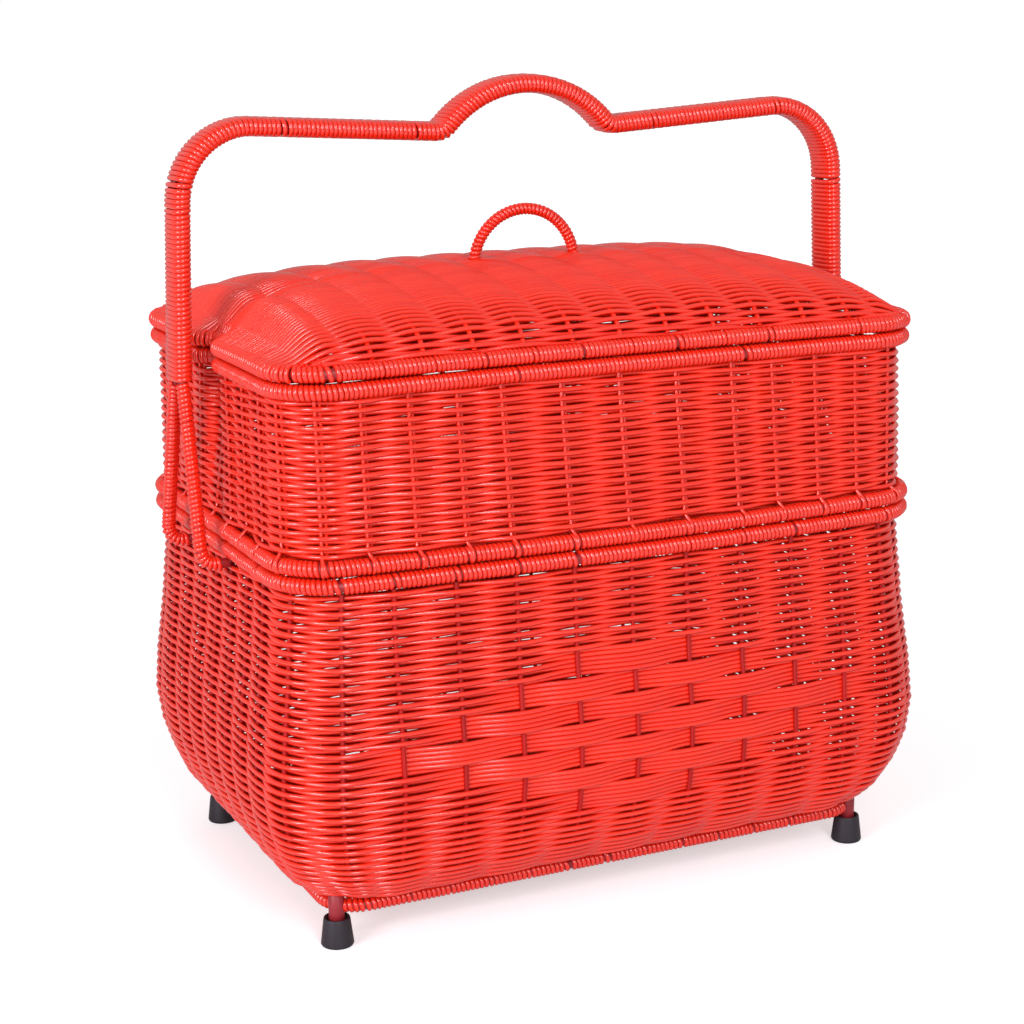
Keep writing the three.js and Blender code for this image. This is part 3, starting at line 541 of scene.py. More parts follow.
def level_path(outline, height, step=0.004):
    points, along, _ = outline
    count = round(along[-1] / step)
    s = np.arange(count) * along[-1] / count
    return np.column_stack([at_lengths(points, along, s), np.full(count, height)])


binding_red = strand_paint("red binding", srgb(222, 30, 10), srgb(242, 50, 24), 0.18, 0.9)
# The wire is the strands' red, painted darker here as painted shade for the gaps in the bindings
# where it shows.
shaded_wire_red = strand_paint("red wire with painted shade", srgb(120, 10, 14), srgb(168, 30, 36), 0.42, 0.5)
UP = (0.0, 0.0, 1.0)
RIM_CORE = 0.0034


def bound_rim(name, node, outline, body, places, gap=None):
    """A bound ring whose binding opens at the given lengths from the middle of its front."""
    low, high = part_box(node)
    path = level_path(outline, (low[2] + high[2]) / 2)
    ring = np.vstack([path, path[:1]])
    breaks = break_widths(places) if gap is None else [(at, gap) for at in places]
    binding = bind(name + "_binding", ring, binding_red, UP, RIM_RADIUS, breaks, whole=True)
    settle(binding, body, "wrap", node)
    core(name + "_wire", path, RIM_CORE, True, body)


tier_outline = plan_outline(TIER_HALF_X, TIER_HALF_Y, TIER_CORNER, TIER_BOW)
tier_length = tier_outline[1][-1]
bound_rim("lower_rim", "lower_top_rim", tier_outline, "basket",
          stake_lengths(tier_length, WALL_STAKES)[1:])

# Foot: four bound rails between the legs, round tube legs painted dull red, and black
# rubber caps, wider at the floor, whose mouths stand off the tube.
RING_RADIUS = 0.0047
RING_CORNER = 0.022
LEG_RADIUS = 0.0048
CAP_HEIGHT = 0.0176
CAP_FOOT_RADIUS = 0.0099
CAP_MOUTH_RADIUS = 0.0081
CAP_LIP = 0.0014
CAP_EDGE = 0.0012
CAP_HOLLOW = 0.004
CAP_BEND = 0.0002
FULL_TURN = 40

ring_half_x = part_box("foot_rail_right")[1][0] - RING_RADIUS
ring_half_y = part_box("foot_rail_back")[1][1] - RING_RADIUS
ring_low, ring_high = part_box("foot_rail_front")
foot_outline = plan_outline(ring_half_x, ring_half_y, RING_CORNER, 0.0)
ring_path = level_path(foot_outline, (ring_low[2] + ring_high[2]) / 2, 0.002)
RAIL_END = math.radians(42)
RAIL_PITCH = 0.0031
RAIL_BREAK_GAP = 0.0267


def part_of(ring, keep, order):
    """The kept points of a ring, in order along one direction."""
    return ring[keep][np.argsort(order[keep])]


for place, facing in (("front", -90), ("right", 0), ("back", 90), ("left", 180)):
    turn = math.radians(facing)
    ahead = np.array([math.cos(turn), math.sin(turn)])
    beside = np.array([-ahead[1], ahead[0]])
    centre_x = ring_half_x - RING_CORNER
    centre_y = ring_half_y - RING_CORNER
    reach = ring_path[:, :2] @ ahead
    sweep = ring_path[:, :2] @ beside
    corner_ahead = abs(ahead @ (centre_x, centre_y))
    corner_beside = abs(beside @ (centre_x, centre_y))
    bend = np.arctan2(np.maximum(np.abs(sweep) - corner_beside, 0), reach - corner_ahead)
    keep = (reach > corner_ahead) & (bend < RAIL_END)
    path = part_of(ring_path, keep, sweep)
    stretch = path_run(path)[-1]
    places = np.arange(RAIL_BREAK_GAP / 2, stretch - RAIL_BREAK_GAP / 2, RAIL_BREAK_GAP)
    rail = bind("foot_rail_binding_" + place, path, binding_red, UP, RING_RADIUS,
                break_widths(places), pitch=RAIL_PITCH)
    settle(rail, "basket", "wrap", "foot_rail_" + place)
    core("foot_rail_wire_" + place, path, RIM_CORE, False, "basket")


def turned(name, profile, centre, material):
    """A piece turned on a lathe: profile is (radius, height) from the floor's middle round
    the outside and back down the inside."""
    angles = np.arange(FULL_TURN) * 2 * math.pi / FULL_TURN
    points, faces = [], []
    rings = []
    for radius, height in profile:
        if radius == 0:
            rings.append([len(points)])
            points.append((centre[0], centre[1], height))
            continue
        rings.append(list(range(len(points), len(points) + FULL_TURN)))
        points.extend((centre[0] + radius * math.cos(angle),
                       centre[1] + radius * math.sin(angle), height) for angle in angles)
    for lower, upper in zip(rings[:-1], rings[1:]):
        for i in range(FULL_TURN):
            j = (i + 1) % FULL_TURN
            if len(lower) == 1:
                faces.append((lower[0], upper[j], upper[i]))
            elif len(upper) == 1:
                faces.append((lower[i], lower[j], upper[0]))
            else:
                faces.append((lower[i], lower[j], upper[j], upper[i]))
    mesh = bpy.data.meshes.new(name)
    mesh.from_pydata(points, [], faces)
    mesh.materials.append(material)
    for polygon in mesh.polygons:
        polygon.use_smooth = True
    piece = bpy.data.objects.new(name, mesh)
    bpy.context.scene.collection.objects.link(piece)
    return piece


rubber_black = strand_paint("black rubber", srgb(30, 28, 33), srgb(58, 53, 62), 0.5, 0.4)
leg_paint = strand_paint("dull red tube", srgb(120, 18, 30), srgb(196, 60, 66), 0.45, 0.5)
for place in ("front_left", "front_right", "back_left", "back_right"):
    low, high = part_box("foot_cap_" + place)
    centre = ((low[0] + high[0]) / 2, (low[1] + high[1]) / 2)
    mouth_inner = CAP_MOUTH_RADIUS - CAP_LIP
    cap = turned("cap_" + place, [
        (0, 0), (CAP_FOOT_RADIUS - 2 * CAP_EDGE, 0), (CAP_FOOT_RADIUS - 0.4 * CAP_EDGE, 0.0003),
        (CAP_FOOT_RADIUS, CAP_EDGE), (CAP_FOOT_RADIUS - 0.0001, 2 * CAP_EDGE),
        (CAP_MOUTH_RADIUS, CAP_HEIGHT - CAP_EDGE),
        (CAP_MOUTH_RADIUS - 0.0003, CAP_HEIGHT - CAP_BEND),
        (CAP_MOUTH_RADIUS - 0.0007, CAP_HEIGHT), (mouth_inner, CAP_HEIGHT - CAP_BEND),
        (LEG_RADIUS + CAP_BEND, CAP_HEIGHT / 2), (LEG_RADIUS + CAP_BEND, CAP_HOLLOW),
        (0, CAP_HOLLOW)], centre, rubber_black)
    settle(cap, "basket", "rubber", "foot_cap_" + place)
    low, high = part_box("leg_" + place)
    leg = turned("tube_" + place, [
        (0, low[2]), (LEG_RADIUS, low[2]), (LEG_RADIUS, high[2] - 0.001),
        (LEG_RADIUS - 0.001, high[2]), (0, high[2])], centre, leg_paint)
    settle(leg, "basket", "wire", "leg_" + place)

# Tray: the same weave between two bound rims, on paired stakes. One stake of each pair ends
# over the foot rim, in a gap of its binding. Each end has a notch for the handle, which
# fades out towards the tray's foot.
TRAY_BOW = -0.005
NOTCH_DEPTH = 0.010
TRAY_STAND_OUT = 0.0005
tray_rim_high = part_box("tray_top_rim")[1]
tray_wall_low, tray_wall_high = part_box("tray_wall")
TRAY_HALF_X = tray_rim_high[0] - RIM_RADIUS
TRAY_HALF_Y = 0.1366
TRAY_PITCH = 0.002625
TRAY_STAKES = (0.0, 0.038, 0.076, 0.104, 0.134, 0.163)
STAKE_END_GAP = 0.0026
HEAD_BREAKS = (0.0825, 0.29, 0.44, 0.63, 0.79, 0.95)
LAST_HEAD_BREAK = 0.0695
tray_outline = plan_outline(TRAY_HALF_X, TRAY_HALF_Y, TIER_CORNER, TRAY_BOW, NOTCH_DEPTH)
tray_length = tray_outline[1][-1]
bound_rim("tray_foot_rim", "tray_bottom_rim", tier_outline, "tray",
          stake_lengths(tier_length, TRAY_STAKES)[1:], STAKE_END_GAP)
bound_rim("tray_head_rim", "tray_top_rim", tray_outline, "tray",
          [*HEAD_BREAKS, tray_length - LAST_HEAD_BREAK])


def tray_outline_at(height, sink):
    share = (height - tray_wall_low[2]) / (tray_wall_high[2] - tray_wall_low[2])
    stand_out = TRAY_STAND_OUT - sink
    half_x = TIER_HALF_X + (TRAY_HALF_X - TIER_HALF_X) * share + stand_out
    half_y = TIER_HALF_Y + (TRAY_HALF_Y - TIER_HALF_Y) * share + stand_out
    bow = TIER_BOW + (TRAY_BOW - TIER_BOW) * share
    return plan_outline(half_x, half_y, TIER_CORNER, bow, NOTCH_DEPTH * share)


tray_paths = []
tray_rows = round((tray_wall_high[2] - tray_wall_low[2]) / TRAY_PITCH)
for row in range(tray_rows):
    share = (row + 0.5) / tray_rows
    height = tray_wall_low[2] + share * (tray_wall_high[2] - tray_wall_low[2])
    tray_paths.append(woven_row(tray_outline_at(height, FACE_DEPTH), height, row, TRAY_STAKES))
tray_weave = lay_strands("tray_weave", tray_paths, rattan_red, sway=0.0026, stray=0.0015,
                         seed=21.0)
settle(tray_weave, "tray", "weave", "tray_wall")

PAIR_GAP = 0.0028
PAIR_SINK = 0.0018
TRAY_STAKE_RADIUS = 0.0012
TRAY_STAKE_START = 0.002
TRAY_STAKE_POINTS = 12
STAKE_END_TURN = (-70, 50)
STAKE_END_STAND = 0.0002
tray_stake_paths = []
tray_heights = np.linspace(tray_wall_low[2] + TRAY_STAKE_START, tray_wall_high[2],
                           TRAY_STAKE_POINTS)
tray_places = [row_round(tray_outline_at(height, FACE_DEPTH), 1, TRAY_STAKES)
               for height in tray_heights]
foot_places, foot_facing, _ = row_round(tier_outline, 1, TRAY_STAKES)
foot_rim_low, foot_rim_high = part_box("tray_bottom_rim")
foot_rim_height = (foot_rim_low[2] + foot_rim_high[2]) / 2
end_turn = np.radians(np.linspace(*STAKE_END_TURN, 7))
end_reach = RIM_RADIUS - TRAY_STAKE_RADIUS + STAKE_END_STAND
for stake in range(len(foot_places)):
    rim_end = [[*(foot_places[stake] + end_reach * math.cos(angle) * foot_facing[stake]),
                foot_rim_height + end_reach * math.sin(angle)] for angle in end_turn]
    for side, sink, lower_end in ((-0.5, 0.0, rim_end), (0.5, PAIR_SINK, [])):
        points = list(lower_end)
        for (place, facing, _), height in zip(tray_places, tray_heights):
            out = facing[stake]
            along = np.array([-out[1], out[0]])
            points.append([*(place[stake] + side * PAIR_GAP * along - sink * out), height])
        tray_stake_paths.append(still_path(np.array(points), draw.random()))
tray_stakes = lay_strands("tray_stakes", tray_stake_paths, rattan_red, closed=False,
                          radius=TRAY_STAKE_RADIUS, sway=0.0012, seed=31.0)
settle(tray_stakes, "tray", "weave")

# Lid: rows run from end to end over rods laid front to back, loose at the front and back and
# tight on the crown. At each end they come down to a crease, run out as a flat band and wrap
# over the rim's wire. A valley runs in from each notch, where the front and back halves meet.
CROWN_HEIGHT = 0.388
LID_EDGE_RISE = 0.0045
LID_SKIN = 0.006
LID_SEAT_RUN = 0.008
LID_SEAT_GAP = 0.0003
LID_END_POWER = 4
LID_END_EASE = 0.55
LID_SIDE_POWER = 2.2
LID_SIDE_EASE = 0.75
LID_EDGE_ROUND = 0.012
LID_FIRST_INSET = 0.002
LID_CREASE_X = 0.197
LID_CREASE_SHARE = 0.43
LID_CREASE_EASE = 0.017
LEAST_BAND = 0.002
LID_WRAP_Y = 0.126
WRAP_OVER = math.radians(90)
WRAP_UNDER = math.radians(-75)
VALLEY_DEPTH = 0.011
VALLEY_LENGTH = 0.095
VALLEY_HALF = 0.013
LOOP_RADIUS = 0.035
LID_ROD_GAP = 0.0313
LID_RODS = range(-5, 6)
LID_ROD_POINTS = 60
LID_PITCH_EDGE = 0.0028
LID_PITCH_CROWN = 0.0019
LID_LOOSE_DEPTH = 0.036
LID_TIGHT_DEPTH = 0.052
LID_STEP = 0.0039
CROWN_HALF_Y = 0.092
CROWN_STRAND_RADIUS = 0.0013
lid_rim_low, lid_rim_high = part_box("lid_rim")
LID_RIM_HEIGHT = (lid_rim_low[2] + lid_rim_high[2]) / 2
LID_EDGE_HEIGHT = LID_RIM_HEIGHT + LID_EDGE_RISE + LID_SKIN
LID_RISE = CROWN_HEIGHT - LID_EDGE_HEIGHT
LID_END_CORE = 0.0026
LID_WRAP_RADIUS = LID_END_CORE + STRAND_RADIUS
WRAP_SINK = 0.0005
WIRE_LAP = 0.004
LID_BREAKS = range(-6, 6)
LID_BREAK_SHIFT = 0.0075
LID_BINDING_PITCH = 0.0028
lid_rim_path = level_path(tray_outline, LID_RIM_HEIGHT, 0.002)
rim_x, rim_y = lid_rim_path[:, 0], lid_rim_path[:, 1]
for place, side_x in (("left", -1), ("right", 1)):
    at_end = (side_x * rim_x > 0) & (np.abs(rim_y) < LID_WRAP_Y + WIRE_LAP)
    part = part_of(lid_rim_path, at_end, rim_y)
    core("lid_rim_wire_" + place, part, LID_END_CORE, False, "lid")
for place, side_y in (("front", -1), ("back", 1)):
    part = part_of(lid_rim_path, side_y * rim_y > LID_WRAP_Y, rim_x)
    places = [LID_BREAK_SHIFT + LID_ROD_GAP * k - part[0][0] for k in LID_BREAKS]
    binding = bind("lid_rim_binding_" + place, part, binding_red, UP, RIM_RADIUS,
                   break_widths(places), pitch=LID_BINDING_PITCH)
    settle(binding, "lid", "wrap", *(("lid_rim",) if place == "front" else ()))
    core("lid_rim_wire_" + place, part, RIM_CORE, False, "lid")


def lid_dome(x, y):
    along_x = np.maximum(0, 1 - np.abs(x / TRAY_HALF_X) ** LID_END_POWER) ** LID_END_EASE
    along_y = np.maximum(0, 1 - np.abs(y / TRAY_HALF_Y) ** LID_SIDE_POWER) ** LID_SIDE_EASE
    fade = 1 - smooth(0, 1, (TRAY_HALF_X - np.abs(x)) / VALLEY_LENGTH)
    valley = VALLEY_DEPTH * fade * np.exp(-np.abs(y) / VALLEY_HALF) * along_x
    return LID_EDGE_HEIGHT + LID_RISE * along_x * along_y - valley


def corner_reach(past):
    return np.sqrt(np.maximum(TIER_CORNER ** 2 - np.maximum(past, 0) ** 2, 0))


def row_end(y):
    """Where a row at y meets the rim's centre line."""
    dent = NOTCH_DEPTH * (1 - smooth(NOTCH_FLOOR, NOTCH_MOUTH, np.abs(y)))
    past = np.abs(y) - (TRAY_HALF_Y - TIER_CORNER)
    return TRAY_HALF_X - dent - TIER_CORNER + corner_reach(past)


def rod_end(x):
    """Where a rod at x meets the rim's centre line, before the long sides bow."""
    return TRAY_HALF_Y - TIER_CORNER + corner_reach(np.abs(x) - (TRAY_HALF_X - TIER_CORNER))


def bowed(x, y):
    return y * (1 + TRAY_BOW / TRAY_HALF_Y * (1 - (x / TRAY_HALF_X) ** 2))


def lid_height(x, y):
    """Height of the strands' centres: the dome, rounded down to the rim in front and behind,
    and brought down at the ends to the crease and the band outside it."""
    bound = smooth(LID_WRAP_Y - LID_SEAT_RUN, LID_WRAP_Y + WIRE_LAP, np.abs(y))
    lift = RIM_RADIUS + LID_SEAT_GAP - LID_WRAP_RADIUS
    seat = LID_RIM_HEIGHT + LID_WRAP_RADIUS + lift * bound
    side = np.clip((rod_end(x) - np.abs(y) - LID_FIRST_INSET) / LID_EDGE_ROUND, 0, 1)
    ease = np.sqrt(1 - (1 - side) ** 2)
    end = row_end(y)
    band = np.maximum(end - LID_CREASE_X, LEAST_BAND)
    inset = end - np.abs(x)
    climb = np.clip((inset - band) / LID_CREASE_EASE, 0, 1)
    above = LID_CREASE_SHARE + (1 - LID_CREASE_SHARE) * (1 - (1 - climb) ** 2)
    out = LID_CREASE_SHARE * np.clip(inset / band, 0, 1)
    share = np.where(inset > band, above, out)
    crest = lid_dome(x, bowed(x, y)) - FACE_DEPTH
    crest_at_crease = lid_dome(np.sign(x) * LID_CREASE_X, bowed(x, y)) - FACE_DEPTH
    crest = np.where(inset > band, crest, np.maximum(crest, crest_at_crease))
    return seat + (crest - seat) * ease * share


def lid_facing(x, y):
    step = 0.0008
    slope_x = (lid_height(x + step, y) - lid_height(x - step, y)) / (2 * step)
    slope_y = (lid_height(x, y + step) - lid_height(x, y - step)) / (2 * step)
    facing = np.column_stack([-slope_x, -slope_y, np.ones_like(slope_x)])
    return facing / np.linalg.norm(facing, axis=1)[:, None]


def lid_row_places():
    """The y of each row in the front half, from the rim to the middle."""
    depth = np.linspace(LID_FIRST_INSET, TRAY_HALF_Y, 3000)
    height = lid_height(np.zeros_like(depth), depth - TRAY_HALF_Y)
    climb = np.concatenate([[0], np.cumsum(np.hypot(np.diff(depth), np.diff(height)))])
    places = []
    at = 0.0
    spare = 0.4 * LID_PITCH_CROWN
    while at < climb[-1] - spare:
        places.append(float(np.interp(at, climb, depth)) - TRAY_HALF_Y)
        tight = smooth(LID_LOOSE_DEPTH, LID_TIGHT_DEPTH, at)
        at += LID_PITCH_EDGE + (LID_PITCH_CROWN - LID_PITCH_EDGE) * tight
    return places


def wrapped_end(y0, row):
    """A row's turn over the rim's wire at the right end: (points, facing), from the top down
    the outside to below."""
    step = 0.0005
    slope = (row_end(y0 + step) - row_end(y0 - step)) / (2 * step)
    outward = np.array([1.0, -slope]) / math.hypot(1, slope)
    angles = np.linspace(WRAP_OVER, WRAP_UNDER, 8)
    radius = LID_WRAP_RADIUS - WRAP_SINK * (row % 2)
    facing = np.column_stack([np.outer(np.cos(angles), outward), np.sin(angles)])
    return np.array([row_end(y0), y0, LID_RIM_HEIGHT]) + radius * facing, facing


ALTERNATE_SINK = 0.0016
DOME_END = 0.0045
CREASE_STEPS = np.array([-0.0025, -0.001, 0.0002])
BAND_SHARES = np.array([0.12, 0.4, 0.7])
PARTING_REACH = 0.007
PARTING_WIDTH = 0.0022
SETTLE_START = 0.004
SETTLE_END = 0.022
front_rows = lid_row_places()
lid_rows = front_rows + [-y for y in reversed(front_rows)]
lid_paths = []
for row, y0 in enumerate(lid_rows):
    end = float(row_end(y0))
    wraps = abs(y0) < LID_WRAP_Y
    crease = min(LID_CREASE_X, end - LEAST_BAND)
    inner = np.linspace(0, crease - DOME_END, round(crease / LID_STEP))
    band = crease + (end - crease) * (BAND_SHARES if wraps else np.append(BAND_SHARES, 1.0))
    right = np.concatenate([inner, crease + CREASE_STEPS, band])
    x = np.concatenate([-right[:0:-1], right])
    y = np.full_like(x, y0)
    at_leg = np.exp(-((np.abs(x) - LOOP_RADIUS) / PARTING_REACH) ** 2)
    parting = at_leg * math.exp(-((y0 / PARTING_REACH) ** 2))
    y = y + math.copysign(PARTING_WIDTH, y0) * parting
    facing = lid_facing(x, y)
    inset = end - np.abs(x)
    settled = smooth(end - crease + SETTLE_START, end - crease + SETTLE_END, inset)
    in_band = 1 - smooth(0, end - crease, inset)
    sink = ALTERNATE_SINK + (WRAP_SINK - ALTERNATE_SINK) * in_band
    alternate = sink / WEAVE_DEPTH * (1 - settled) * (-(row % 2))
    over = np.cos(math.pi * (x / LID_ROD_GAP + row)) * settled + alternate
    points = np.column_stack([x, bowed(x, y), lid_height(x, y)])
    if wraps:
        turn_points, turn_facing = wrapped_end(y0, row)
        mirror = np.array([-1.0, 1.0, 1.0])
        points = np.vstack([turn_points[::-1] * mirror, points, turn_points])
        facing = np.vstack([turn_facing[::-1] * mirror, facing, turn_facing])
        over = np.concatenate([np.zeros(len(turn_points)), over, np.zeros(len(turn_points))])
    lid_paths.append((points, facing, over, draw.random()))
loose_paths = [path for path, y0 in zip(lid_paths, lid_rows) if abs(y0) > CROWN_HALF_Y]
crown_paths = [path for path, y0 in zip(lid_paths, lid_rows) if abs(y0) <= CROWN_HALF_Y]
loose_rows = lay_strands("lid_rows", loose_paths, rattan_red, closed=False, seed=41.0, sway=0.0006,
                         stray=0.0004)
crown_rows = lay_strands("lid_crown_rows", crown_paths, rattan_red, closed=False, seed=41.0,
                         radius=CROWN_STRAND_RADIUS, sway=0.0006, stray=0.0003)
settle(loose_rows, "lid", "weave", "lid_weave")
settle(crown_rows, "lid", "weave")

lid_rod_paths = []
for rod in LID_RODS:
    x0 = rod * LID_ROD_GAP
    reach = rod_end(x0) - LID_FIRST_INSET
    y = np.linspace(-reach, reach, LID_ROD_POINTS)
    x = np.full_like(y, x0)
    points = np.column_stack([x, bowed(x, y), lid_height(x, y)])
    lid_rod_paths.append(still_path(points, draw.random()))
lid_rods = lay_strands("lid_rods", lid_rod_paths, rattan_red, closed=False,
                       radius=STAKE_RADIUS, sway=0.0006, stray=0.0, seed=42.0)
settle(lid_rods, "lid", "weave")

# Lid ribs: two painted wires under the dome, bent down to the rim at their ends, which
# carry the feet of the finger loop.


def paint_wires(name):
    """Gives the frame's own pair of wires, left and right, the wire's red, darkened as painted shade.
    """
    for place in ("left", "right"):
        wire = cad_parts[name + place]
        wire.data.materials.clear()
        wire.data.materials.append(shaded_wire_red)


paint_wires("lid_rib_")

# Finger loop: a half circle of wire closely bound with strand. Its legs go down through the
# weave between two strands, which leaves a dark slit beside each.
LOOP_BINDING_RADIUS = 0.0039
LOOP_CENTRE = 0.3815
LOOP_STRAND = 0.0015
LOOP_CORE = 0.0016
LOOP_PITCH = 0.0027
loop_angles = np.linspace(math.pi, 0, 81)
loop_path = np.column_stack([
    LOOP_RADIUS * np.cos(loop_angles), np.zeros(81), LOOP_CENTRE + LOOP_RADIUS * np.sin(loop_angles)])
loop_binding = bind("finger_loop_binding", loop_path, binding_red, (0, 1, 0),
                    LOOP_BINDING_RADIUS, pitch=LOOP_PITCH, radius=LOOP_STRAND)
settle(loop_binding, "lid", "wrap", "lid_loop_wrap")
loop_wire = core("finger_loop_wire", loop_path, LOOP_CORE, False, "lid")
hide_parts("lid_loop_wire")

# Carry handle: two wires side by side under one binding, bent from two uprights into a bar
# with a round arch in its middle. Below the binding each wire is bound by itself.
GRIP_HALF = 0.006
WIRE_HALF_SPREAD = 0.0075
HANDLE_STRAND = 0.00165
HANDLE_CORE = 0.003
HANDLE_PITCH = 0.0028
GRIP_BREAKS = ((0.099, 0.0006), (0.1145, 0.0012), (0.192, 0.002), (0.2766, 0.0016),
               (0.4551, 0.0014), (0.5467, 0.0016), (0.6234, 0.0014))
HANDLE_EASE = 0.004
UPRIGHT_X = 0.2226
UPRIGHT_LEAN = 0.0378
HANDLE_CORNER = 0.044
BAR_END_HEIGHT = 0.4746
BAR_KINK_HEIGHT = 0.4666
KINK_HALF = 0.057
PRONG_SPREAD = 0.066
PRONG_FOOT_X = 0.2298
PRONG_RADIUS = 0.0045
PRONG_PITCH = 0.0028
PRONG_STRAND = 0.0016
PRONG_FIRST_BREAK = 0.03
PRONG_BREAK_GAP = 0.032
NECK_DROP = 0.0008
HOOK_BEND = 0.009
HOOK_BARE_X = 0.218
HOOK_TIP_OUT = 0.0018
HOOK_GAP = 0.0003
HOOK_WIRE = 0.002
grip_low, grip_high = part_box("handle_grip_wrap")
SPLIT_HEIGHT = grip_low[2]
ARCH_TOP = grip_high[2] - GRIP_HALF
HOOK_HEIGHT = rim_low[2] - HOOK_GAP - HOOK_WIRE


def upright_at(height):
    return UPRIGHT_X + UPRIGHT_LEAN * (BAR_END_HEIGHT - height)


def handle_half():
    """The grip's centre line from the split on the right up to the top of the arch."""
    lean = math.atan(UPRIGHT_LEAN)
    centre_z = BAR_END_HEIGHT - HANDLE_CORNER
    centre_x = upright_at(centre_z) - HANDLE_CORNER
    droop = math.atan2(BAR_END_HEIGHT - BAR_KINK_HEIGHT, UPRIGHT_X - HANDLE_CORNER - KINK_HALF)
    points = [(upright_at(z), z) for z in np.linspace(SPLIT_HEIGHT, centre_z - HANDLE_EASE, 12)]
    for angle in np.linspace(lean, math.pi / 2 - droop, 14):
        points.append((centre_x + HANDLE_CORNER * math.cos(angle),
                       centre_z + HANDLE_CORNER * math.sin(angle)))
    bar_start = points[-1]
    for share in np.linspace(0, 1, 14)[1:]:
        points.append((bar_start[0] + (KINK_HALF - bar_start[0]) * share,
                       bar_start[1] + (BAR_KINK_HEIGHT - bar_start[1]) * share))
    rise = ARCH_TOP - BAR_KINK_HEIGHT
    arch_radius = (KINK_HALF ** 2 + rise ** 2) / (2 * rise)
    arch_half = math.asin(KINK_HALF / arch_radius)
    for angle in np.linspace(arch_half, 0, 12)[1:]:
        points.append((arch_radius * math.sin(angle),
                       ARCH_TOP - arch_radius * (1 - math.cos(angle))))
    return points


def eased(points, reach, step=0.001):
    """The same path in even steps, with its kinks rounded off over a reach to each side."""
    run = path_run(points)
    even = np.linspace(0, run[-1], round(run[-1] / step))
    fine = np.column_stack([np.interp(even, run, points[:, k]) for k in range(3)])
    spare = round(reach / step)
    longer = np.pad(fine, ((spare, spare), (0, 0)), "reflect", reflect_type="odd")
    weights = np.ones(2 * spare + 1) / (2 * spare + 1)
    return np.column_stack([np.convolve(longer[:, k], weights, "valid") for k in range(3)])


right_side = handle_half()
whole = [(-x, z) for x, z in right_side] + right_side[-2::-1]
grip_path = eased(np.array([(x, 0.0, z) for x, z in whole]), HANDLE_EASE)
grip_binding = bind("handle_binding", grip_path, binding_red, (0, 1, 0), GRIP_HALF,
                    GRIP_BREAKS, half_spread=WIRE_HALF_SPREAD, pitch=HANDLE_PITCH, steps=22,
                    radius=HANDLE_STRAND)
settle(grip_binding, "basket", "wrap", "handle_grip_wrap")


def prong_path(side_x, side_y):
    """From the hook's tip under the lower rim, round its bend and up to the split."""
    bend_top = HOOK_HEIGHT + HOOK_BEND
    foot_y = side_y * PRONG_SPREAD / 2
    points = [(TIER_HALF_X + HOOK_TIP_OUT, foot_y, HOOK_HEIGHT)]
    for angle in np.linspace(math.pi / 2, 0, 8):
        points.append((PRONG_FOOT_X - HOOK_BEND * (1 - math.cos(angle)), foot_y,
                       bend_top - HOOK_BEND * math.sin(angle)))
    neck = SPLIT_HEIGHT - NECK_DROP
    top = (upright_at(neck), side_y * WIRE_HALF_SPREAD, neck)
    foot = points[-1]
    for share in np.linspace(0, 1, 9)[1:]:
        points.append(tuple(a + (b - a) * share for a, b in zip(foot, top)))
    return np.array([(side_x * x, y, z) for x, y, z in points])


for place, side_y in (("front", -1), ("back", 1)):
    left = prong_path(-1, side_y)
    right = prong_path(1, side_y)
    middle = grip_path + np.array([0, side_y * WIRE_HALF_SPREAD, 0])
    wire = core("handle_core_" + place, np.vstack([left, middle, right[::-1]]), HANDLE_CORE,
                False, "basket")
    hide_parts("handle_wire_" + place)
    for hand, path in (("left", left), ("right", right)):
        bound = eased(path, 0.001)
        bound = bound[np.abs(bound[:, 0]) > HOOK_BARE_X][:-2]
        places = np.arange(PRONG_FIRST_BREAK, path_run(bound)[-1], PRONG_BREAK_GAP)
        wrap = bind("prong_binding_" + place + "_" + hand, bound, binding_red, (0, 1, 0),
                    PRONG_RADIUS, [(s, width / 2) for s, width in break_widths(places)],
                    pitch=PRONG_PITCH, radius=PRONG_STRAND)
        settle(wrap, "basket", "wrap", "prong_wrap_" + place + "_" + hand)

# Floors: strand woven to and fro over rods that lie across the basket. Each floor is tied to
# two painted cross wires, which run from front to back under it.
FLOOR_ROD_GAP = 0.030
FLOOR_PITCH = 0.0031
FLOOR_DEPTH = 0.0011
FLOOR_STRAND = 0.00135
FLOOR_ROD_RADIUS = 0.0013
FLOOR_POINTS = 90
FLOOR_ROD_POINTS = 12
LOWER_FLOOR_CORNER = 0.017
TRAY_FLOOR_CORNER = 0.029


def corner_edge(at, half_along, half_across, corner):
    """How far a rounded rectangle reaches to its side, at a distance from its middle."""
    into = max(0.0, abs(at) - (half_along - corner))
    return half_across - corner + math.sqrt(max(corner ** 2 - into ** 2, 0))


